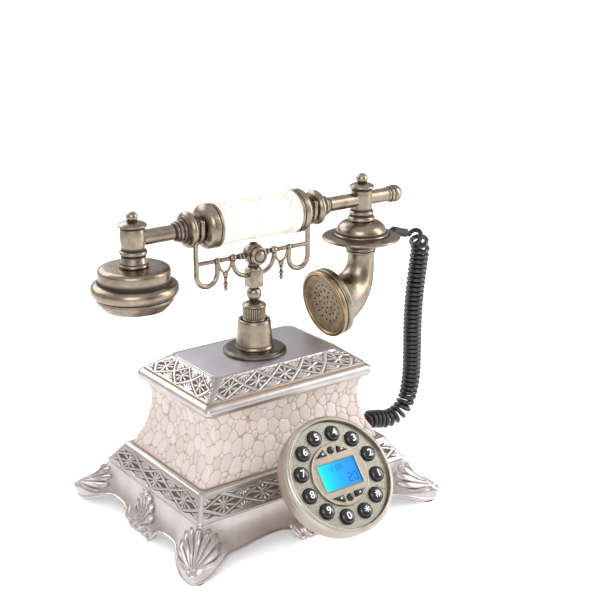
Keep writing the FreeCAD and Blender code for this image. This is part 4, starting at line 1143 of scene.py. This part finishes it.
def make_apron(border, materials):
    """The flared apron with its feet, leaf fans, side ornaments and beaded lower edge."""
    from_middle, to_corner = border.measures(82.0, 59.0)
    edge = apron_edge(from_middle, to_corner)
    toe = np.exp(-np.abs(to_corner / 14.5) ** 3)
    lean = np.exp(-(to_corner / 17.0) ** 2)[:, None]
    diagonal = np.sign(border.around(82.0, 59.0)[0]) * math.sqrt(0.5)
    rows, recess = [], []
    count = 66
    toe_z = np.array([0.5, 1.4, 3.0, 5.5, 8.0, 10.5, 13.0, 16.0, 19.0, 23.0, 28.6])
    toe_out = np.array([9.0, 10.4, 11.8, 12.5, 12.5, 11.8, 9.6, 6.2, 4.0, 1.9, 0.0])
    for t in np.linspace(0, 1, count):
        z = APRON_TOP + (edge - APRON_TOP) * t
        flare = ((APRON_TOP - np.clip(z, APRON_LOW, APRON_TOP)) / (APRON_TOP - APRON_LOW)) ** 1.9
        below_low = np.clip(APRON_LOW - z, 0, 9) * 0.1
        grow_x, grow_y = 7.6 * flare + below_low, 8.3 * flare + below_low
        place, out = border.around(APRON_X, APRON_Y)
        long_side = border.side % 2 == 0
        base = place + border.normal * np.where(long_side, grow_y, grow_x)[:, None]
        other = np.where(long_side, grow_x, grow_y)
        base += border.along * (np.where(border.arc < 0, border.share, 1.0) * other)[:, None]
        push = np.interp(z, toe_z, toe_out) * toe
        direction = out * (1 - lean) + diagonal * lean
        direction /= np.linalg.norm(direction, axis=1, keepdims=True)
        base += direction * push[:, None]
        leaf, leaf_groove = fan(to_corner * 0.92, z - 10.4, 16.0, math.radians(106), 9, 0.34)
        leaf, leaf_groove = np.array((leaf, leaf_groove)) * smoothed((z - 10.2) / 1.2)
        bead = smoothed((5.4 - np.abs(to_corner)) / 2.2) * np.exp(-((z - 8.4) / 2.4) ** 4)
        lean_by = from_middle * 1.5 + (z - 8.0) * 0.3
        shell, shell_groove = fan(lean_by, z - 7.5, 20.5, math.radians(74), 7)
        shell, shell_groove = np.array((shell, shell_groove)) * smoothed((z - 7.2) / 1.0)
        aside = np.abs(from_middle)
        scroll, hollow = 0.0, 0.0
        for at_x, above_edge, radius in ((3.4, 3.4, 2.6), (9.2, 2.8, 2.2), (14.4, 2.3, 1.7)):
            away = np.hypot(aside - at_x, z - edge - above_edge)
            scroll = scroll + ridge(np.abs(away - radius), 1.0) + smoothed((0.9 - away) / 0.7)
            hollow = hollow + np.exp(-((away - radius * 0.5) / 0.5) ** 2)
        raise_by = 2.8 * leaf + 1.8 * bead + 2.6 * shell + 1.2 * np.clip(scroll, 0, 1)
        raise_by = raise_by * smoothed(t / 0.06)
        rows.append(np.column_stack([base + direction * raise_by[:, None], z]))
        dark = np.clip(leaf_groove + shell_groove + hollow * 0.8, 0, 1) * smoothed(t / 0.06)
        recess.append(dark * 0.9)
    outer_last = rows[-1].copy()
    inward = np.column_stack([border.around(APRON_X, APRON_Y)[1] * (1 - lean) + diagonal * lean,
                              np.zeros(border.columns)])
    inward[:, :2] /= np.linalg.norm(inward[:, :2], axis=1, keepdims=True)
    for t in (1.0, 0.7, 0.4, 0.0):
        rows.append(rows[int(t * (count - 1))] - inward * 3.2)
        recess.append(np.full(border.columns, 0.6))
    rows_piece("apron", border, rows, materials["pewter"], ["plinth"], {"recess": recess})
    spaced = slice(None, None, 3)
    path = outer_last[spaced]
    ups = np.column_stack([inward[spaced, :2] * 0.35, np.full(len(path), 0.6)])
    points, faces = tube_mesh(path - inward[spaced] * 0.7 + ups * 0.6, 1.35, 12, True)
    make_piece("apron_bead", points, faces, materials["pewter"], BASE)


def make_lid(border, materials):
    """The round lip, the frieze and the flat top panel."""
    lip = eased([(60.5, 88.7), (62.5, 88.5), (64.6, 89.4, 2), (65.8, 91.4, 2), (65.8, 93.6, 2),
                 (64.9, 95.4, 2), (63.2, 96.6, 1), (62.4, 96.9), (62.3, 97.5), (61.9, 98.1),
                 (61.4, 98.3), (57.0, 98.3)], 0.3)
    rows, recess, gilt = [], [], []
    for half_x, z in lip:
        rows.append(border.level(half_x, half_x - 20.9, z))
        gold = math.exp(-((z - 97.3) / 0.7) ** 2)
        recess.append(np.full(border.columns, gold * 0.55))
        gilt.append(np.full(border.columns, gold))
    rows_piece("lid_lip", border, rows, materials["pewter"], ["lid"],
               {"recess": recess, "gilt": gilt})
    frieze("lid_frieze", border, (98.3, 61.8, 40.9), (107.3, 50.2, 28.9),
           [(22.4, 5), (22.4, 3)], 1.0, 50, materials["pewter"], ["lid"], share=(0.03, 0.97),
           petals=8, ground=0.1, corners=(CORNER_R, 8.0),
           below=[(97.9, 58.0, 37.1, 0.5, 0), (97.9, 61.6, 40.7, 0.5, 0.6)],
           above=[(107.6, 49.9, 28.6, 0, 0), (107.7, 49.3, 28.0, 0, 0),
                  (107.4, 48.9, 27.6, 0.5, 0), (106.9, 48.0, 26.7, 1, 0)])
    rows, recess = [], []
    profile = [(49.2, 27.9, 106.8, 1), (48.9, 27.6, 107.2, 1), (48.5, 27.2, 107.5, 0.4),
               (48.1, 26.8, 107.65, 0), (47.0, 25.7, 107.7, 0), (30.0, 20.0, 107.7, 0),
               (12.0, 12.0, 107.7, 0), (12.0, 12.0, 106.8, 0)]
    for half_x, half_y, z, groove in profile:
        rows.append(border.level(half_x, half_y, z, min(7.8, half_y * 0.3)))
        recess.append(np.full(border.columns, float(groove)))
    rows_piece("top_panel", border, rows, materials["panel"], ["lid"], {"recess": recess})


WAIST_LONG, WAIST_SHORT = 128.0, 82.0
SQUASH = 0.86


def make_waist(materials):
    """The concave shell covered in low pebbles of many sizes."""
    border = Border(230, 150, 12)
    rng = np.random.default_rng(11)
    line = spread([(z, x, y) for z, x, y in WAIST], 0.5)
    total = 2 * (WAIST_LONG + WAIST_SHORT)
    from_middle, _ = border.measures(63.0, 41.0)
    starts = np.array((0.0, WAIST_LONG, WAIST_LONG + WAIST_SHORT, 2 * WAIST_LONG + WAIST_SHORT))
    where = (starts[border.side] + from_middle) % total
    seeds = []
    for radius in (4.0, 3.3, 2.7, 2.1, 1.6, 1.15):
        for _ in range(1500 if radius > 2 else 2600):
            u, v = rng.uniform(0, total), rng.uniform(41.0, 91.0)
            for other_u, other_v, other_r in seeds:
                gap = abs(u - other_u)
                gap = min(gap, total - gap)
                if gap * gap + ((v - other_v) * SQUASH) ** 2 < (0.97 * (radius + other_r)) ** 2:
                    break
            else:
                seeds.append((u, v, radius))
    seeds = np.array(seeds)
    tints = rng.uniform(0, 1, len(seeds))
    rows, recess, tint = [], [], []
    for z, half_x, half_y in line:
        place, out = border.around(half_x, half_y)
        gap = np.abs(where[:, None] - seeds[None, :, 0])
        gap = np.minimum(gap, total - gap)
        distance = np.hypot(gap, (z - seeds[None, :, 1]) * SQUASH) - seeds[None, :, 2]
        first, second = np.partition(distance, 1, axis=1)[:, :2].T
        nearest = np.argmin(distance, axis=1)
        between = (second - first) / 2
        dome = 1 - np.exp(-(between / 0.36) ** 1.5)
        size = seeds[nearest, 2]
        crown = np.clip(-first / size, 0, 1)
        height = dome * (0.75 + 0.25 * np.sqrt(crown)) * smoothed((1.5 - first) / 1.0)
        at_foot = smoothed((z - LEDGE_Z - 0.3) / 1.2) * smoothed((88.2 - z) / 0.8)
        rows.append(np.column_stack([place + out * ((height - 0.9) * 0.75 * at_foot)[:, None],
                                     np.full(border.columns, z)]))
        recess.append(np.clip((0.5 - height) / 0.42, 0, 1) * at_foot + 0.9 * (1 - at_foot)
                      * (z < 50))
        tint.append(tints[nearest])
    for z, x, y in ((88.5, 57.0, 36.0), (66.0, 56.5, 35.4), (LEDGE_Z, 63.0, 38.0)):
        rows.append(border.level(x, y, z))
        recess.append(np.zeros(border.columns))
        tint.append(np.full(border.columns, 0.5))
    rows_piece("pebble_panel", border, rows, materials["pebbles"], ["waist"],
               {"recess": recess, "tint": tint})


def make_base(materials):
    """All the castings of the base."""
    border = Border(400, 270, 12)
    frieze("plinth_frieze", border, (30.3, 82.4, 59.2), (42.0, 75.2, 49.8),
           [(30.4, 5), (34.6, 3)], 1.25, 50, materials["pewter"], ["plinth"],
           below=[(29.0, 78.0, 55.0, 0.3, 0), (28.5, 82.3, 59.1, 0.3, 0.3),
                  (28.8, 82.9, 59.7, 0, 0), (29.6, 83.0, 59.8, 0, 0), (30.1, 82.7, 59.5, 0, 0)],
           above=[(42.6, 74.9, 49.4, 0.2, 0), (43.1, 74.5, 48.9, 0, 0), (43.4, 73.8, 48.2, 0, 0),
                  (43.4, 71.6, 46.0, 0, 0), (43.3, 70.8, 45.3, 0.8, 0.5),
                  (43.2, 68.0, 42.5, 0.5, 0)], share=(0.05, 0.90), ground=0.12)
    make_apron(Border(220, 150, 26), materials)
    make_lid(Border(400, 250, 14), materials)
    make_waist(materials)


# ---- the dial ----
KEY_DOME = [(0, -7.1), (2.0, -7.1), (2.0, -4.9), (5.8, -4.9), (5.8, -3.8), (4.9, -3.8),
            (4.9, -0.9), (4.8, -0.2, 0.6), (4.4, 0.45, 1.2), (3.4, 1.1, 2), (1.8, 1.5, 2),
            (0, 1.6)]
WEDGES = {"redial": [(-12.2, 13.4), (-4.2, 13.4), (-5.4, 17.4)],
          "down": [(4.2, 13.4), (12.2, 13.4), (5.4, 17.4)],
          "delete": [(-4.0, -13.2), (-12.0, -13.2), (-4.8, -17.4)],
          "flash": [(12.6, -13.0), (4.6, -13.0), (4.2, -16.4), (8.8, -15.8)]}
ROUNDS = {"up": (0.2, 15.9), "call": (0.2, -15.6)}
SEGMENTS = {"0": "abcdef", "1": "bc", "2": "abged", "3": "abgcd", "4": "fgbc", "5": "afgcd",
            "6": "afgedc", "8": "abcdefg"}


def dial_turned(name, outline, material, body, replaced=(), place=(0, 0), steps=128, **more):
    """A turned piece that stands square on the dial."""
    base = to_dial((place[0], place[1], 0.0))
    return turned(name, outline, material, body, replaced, base, DIAL_OUT, steps, **more)


def legend(name, character, place, size, body, materials):
    """A pad-printed figure that follows the key's dome."""
    text = bpy.data.curves.new(name, "FONT")
    text.body = character
    text.size = size
    text.align_x = "CENTER"
    text.align_y = "CENTER"
    text.extrude = 0.05
    text.offset = 0.07
    text.resolution_u = 5
    holder = bpy.data.objects.new(name, text)
    bpy.context.scene.collection.objects.link(holder)
    bpy.context.view_layer.update()
    mesh = bpy.data.meshes.new_from_object(holder)
    bpy.data.objects.remove(holder)
    work = bmesh.new()
    work.from_mesh(mesh)
    bmesh.ops.remove_doubles(work, verts=work.verts, dist=0.001)
    bmesh.ops.triangulate(work, faces=work.faces)
    bmesh.ops.subdivide_edges(work, edges=work.edges, cuts=3, use_grid_fill=True)
    bmesh.ops.triangulate(work, faces=work.faces)
    work.verts.index_update()
    spots = np.array([v.co for v in work.verts])
    faces = [[v.index for v in f.verts] for f in work.faces]
    work.free()
    bpy.data.meshes.remove(mesh)
    low, high = spots.min(0), spots.max(0)
    spots[:, :2] -= (low[:2] + high[:2]) / 2
    reach = np.hypot(spots[:, 0], spots[:, 1])
    spots[:, 2] += np.interp(reach, [0, 1.8, 3.4, 4.4], [1.58, 1.46, 1.08, 0.45]) + 0.05
    spots[:, :2] += place
    return make_piece(name, to_dial(spots), faces, materials["legend"], body, sharp=60)


def segment_bars(character, x, y, size):
    """The lit bars of one seven-segment figure, as (points, faces) blocks."""
    w, h, thick = 0.5 * size, size, 0.13 * size
    spots = {"a": (0, h / 2, w, thick), "g": (0, 0, w, thick), "d": (0, -h / 2, w, thick),
             "b": (w / 2, h / 4, thick, h / 2), "c": (w / 2, -h / 4, thick, h / 2),
             "f": (-w / 2, h / 4, thick, h / 2), "e": (-w / 2, -h / 4, thick, h / 2)}
    parts = []
    for letter in SEGMENTS[character]:
        cx, cy, wide, tall = spots[letter]
        wide, tall = wide * 0.84 / 2, tall * 0.84 / 2
        corners = [(sx * wide + x + cx, sy * tall + y + cy, z)
                   for z in (-1.12, -1.06) for sx, sy in ((-1, -1), (1, -1), (1, 1), (-1, 1))]
        faces = [[0, 1, 2, 3], [4, 5, 6, 7], [0, 1, 5, 4], [1, 2, 6, 5], [2, 3, 7, 6], [3, 0, 4, 7]]
        parts.append((corners, faces))
    return parts


def make_dial(materials):
    """The drum, its rims, the display and the keys."""
    champagne, rim = materials["champagne"], materials["rim"]
    dial_turned("drum", [(0, -18.5), (30.0, -18.5, 2), (33.6, -17.6, 2), (36.2, -15.6, 2),
                         (37.5, -13.0, 2), (38.0, -10.0, 2), (38.0, -4.6), (37.7, -4.2),
                         (37.7, -3.6), (35.2, -3.5), (35.2, -12.5), (33.0, -15.7), (0, -15.7)],
                champagne, BASE, ["dial_housing"], steps=160)
    neck = to_dial((0, 8.0, -17.4))
    turned("drum_neck", [(13.5, 0), (17.2, 0), (17.0, 1.2, 1), (16.2, 2.6, 1), (16.0, 5.0),
                         (16.0, 27.5), (13.5, 27.5)], champagne, BASE, base=neck,
           axis=-DIAL_OUT, steps=96)
    dial_turned("dial_ring", [(34.9, -3.5), (37.9, -3.5), (38.4, -3.1), (38.5, -2.0, 0.6),
                              (38.2, -0.7, 0.8), (37.3, 0.2, 0.8), (36.7, 0.5), (36.4, 0.4),
                              (36.2, 0.7), (35.9, 1.05), (35.4, 1.0), (35.1, 0.5), (34.9, -0.6)],
                rim, BASE, ["dial_rim"], steps=160, cut=0.25)
    dial_turned("middle_ring", [(19.2, -1.4), (20.4, -1.4), (20.35, -0.5), (20.0, -0.05),
                                (19.6, 0.0), (19.3, -0.35)], rim, BASE, steps=96, cut=0.15)
    # The window frame round the display: its inner wall and floor get recess 1 and its inner edge
    # 0.3, painted shade for the depth of the window.
    border = Border(4, 4, 4)
    rows = [to_dial(border.level(*sizes, 0.7))
            for sizes in ((15.3, 9.6, -0.5), (15.2, 9.5, -0.2), (14.8, 9.1, -0.12),
                          (14.4, 8.7, -0.3), (14.2, 8.5, -0.5), (14.2, 8.5, -1.3),
                          (15.3, 9.6, -1.3))]
    rows_piece("window_frame", border, rows, materials["bezel"], [],
               {"recess": [np.full(border.columns, painted_shade) for painted_shade in (0, 0, 0, 0.3, 1, 1, 1)]},
               sharp=30)
    corners = [(sx * 14.6, sy * 8.9, z) for sx in (-1, 1) for sy in (-1, 1) for z in (-3.4, -1.14)]
    hull_piece("display", to_dial(corners), materials["lcd"], BASE, ["display_panel"], 0.1)
    parts = []
    for index, character in enumerate("1206"):
        parts += segment_bars(character, -6.6 + 2.9 * index + (0.9 if index > 1 else 0), 4.6, 3.0)
    for index, character in enumerate("20"):
        parts += segment_bars(character, 6.6 + 4.2 * index, -3.6, 5.0)
    points, faces = gathered(parts)
    make_piece("display_figures", to_dial(points), faces, materials["lcd_digits"], BASE, sharp=30)
    line = spread([(22.6, -13.7, -1.4), (26.4, -16.8, -1.35), (30.6, -20.2, -1.3)], 0.8)
    points, faces = tube_mesh(to_dial(line), 0.32, 10)
    make_piece("stop_line", points, faces, rim, BASE)
    marks = {"hash": "#", "star": "*"}
    for index, digit in enumerate(DIGITS):
        angle = math.radians(FIRST_DIGIT + 30 * index)
        place = (KEY_RING_R * math.sin(angle), KEY_RING_R * math.cos(angle))
        body = "key_" + digit
        dial_turned("button_" + digit, KEY_DOME, materials["keys"], body, [body], place, 64)
        legend("figure_" + digit, marks.get(digit, digit), place, 6.4 if digit != "star" else 8.5,
               body, materials)
    for key, outline in WEDGES.items():
        spots = [(x, y, z) for x, y in outline for z in (-3.8, 1.0)]
        hull_piece("button_" + key, to_dial(spots), materials["keys"], "key_" + key,
                   ["key_" + key], 0.6)
        x, y = np.mean(outline, axis=0)
        mark = [(x + dx, y + dy, z) for dx, dy in ((-0.9, -0.5), (0.9, -0.5), (0.1, 0.8))
                for z in (0.95, 1.04)]
        hull_piece("mark_" + key, to_dial(mark), materials["legend"], "key_" + key, bevel=0.02)
    for key, place in ROUNDS.items():
        outline = [(0, -7.1), (1.3, -7.1), (1.3, -4.9), (2.8, -4.9), (2.8, -3.8), (2.2, -3.8),
                   (2.3, 0.2), (2.1, 0.9, 0.6), (1.3, 1.25, 0.8), (0, 1.35)]
        dial_turned("button_" + key, outline, materials["keys"], "key_" + key, ["key_" + key],
                    place, 40)


def dress_frame(materials):
    """Finishes for the nodes that show as they are."""
    finishes = {"bottom_cover": "black", "battery_door": "black", "ringer_switch": "black",
                "modular_jacks": "black", "hook_switch": "black", "hook_lever": "black",
                "foot_pads": "rubber", "fasteners": "zinc", "plunger_spring": "zinc",
                "ringer": "zinc", "handset_capsules": "zinc", "main_board": "board",
                "keypad_board": "board", "battery_pack": "sleeve", "base_plug": "vinyl",
                "handset_plug": "black", "key_plate": "plate", "display_bezel": "bezel",
                "mouth_grille": "grille", "display_panel": "lcd", "plinth": "pewter",
                "lid": "pewter", "waist": "pebbles", "grip": "resin"}
    for name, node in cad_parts.items():
        finish = finishes.get(name, "keys" if name.startswith("key_") else "bronze")
        for slot in node.material_slots:
            slot.material = materials[finish]


make_camera()
make_studio()
make_floor()
MATERIALS = make_materials()
for make in (make_cord, make_base, make_dial, make_post, make_knurls, make_cradle, make_handset,
             dress_frame):
    make(MATERIALS)
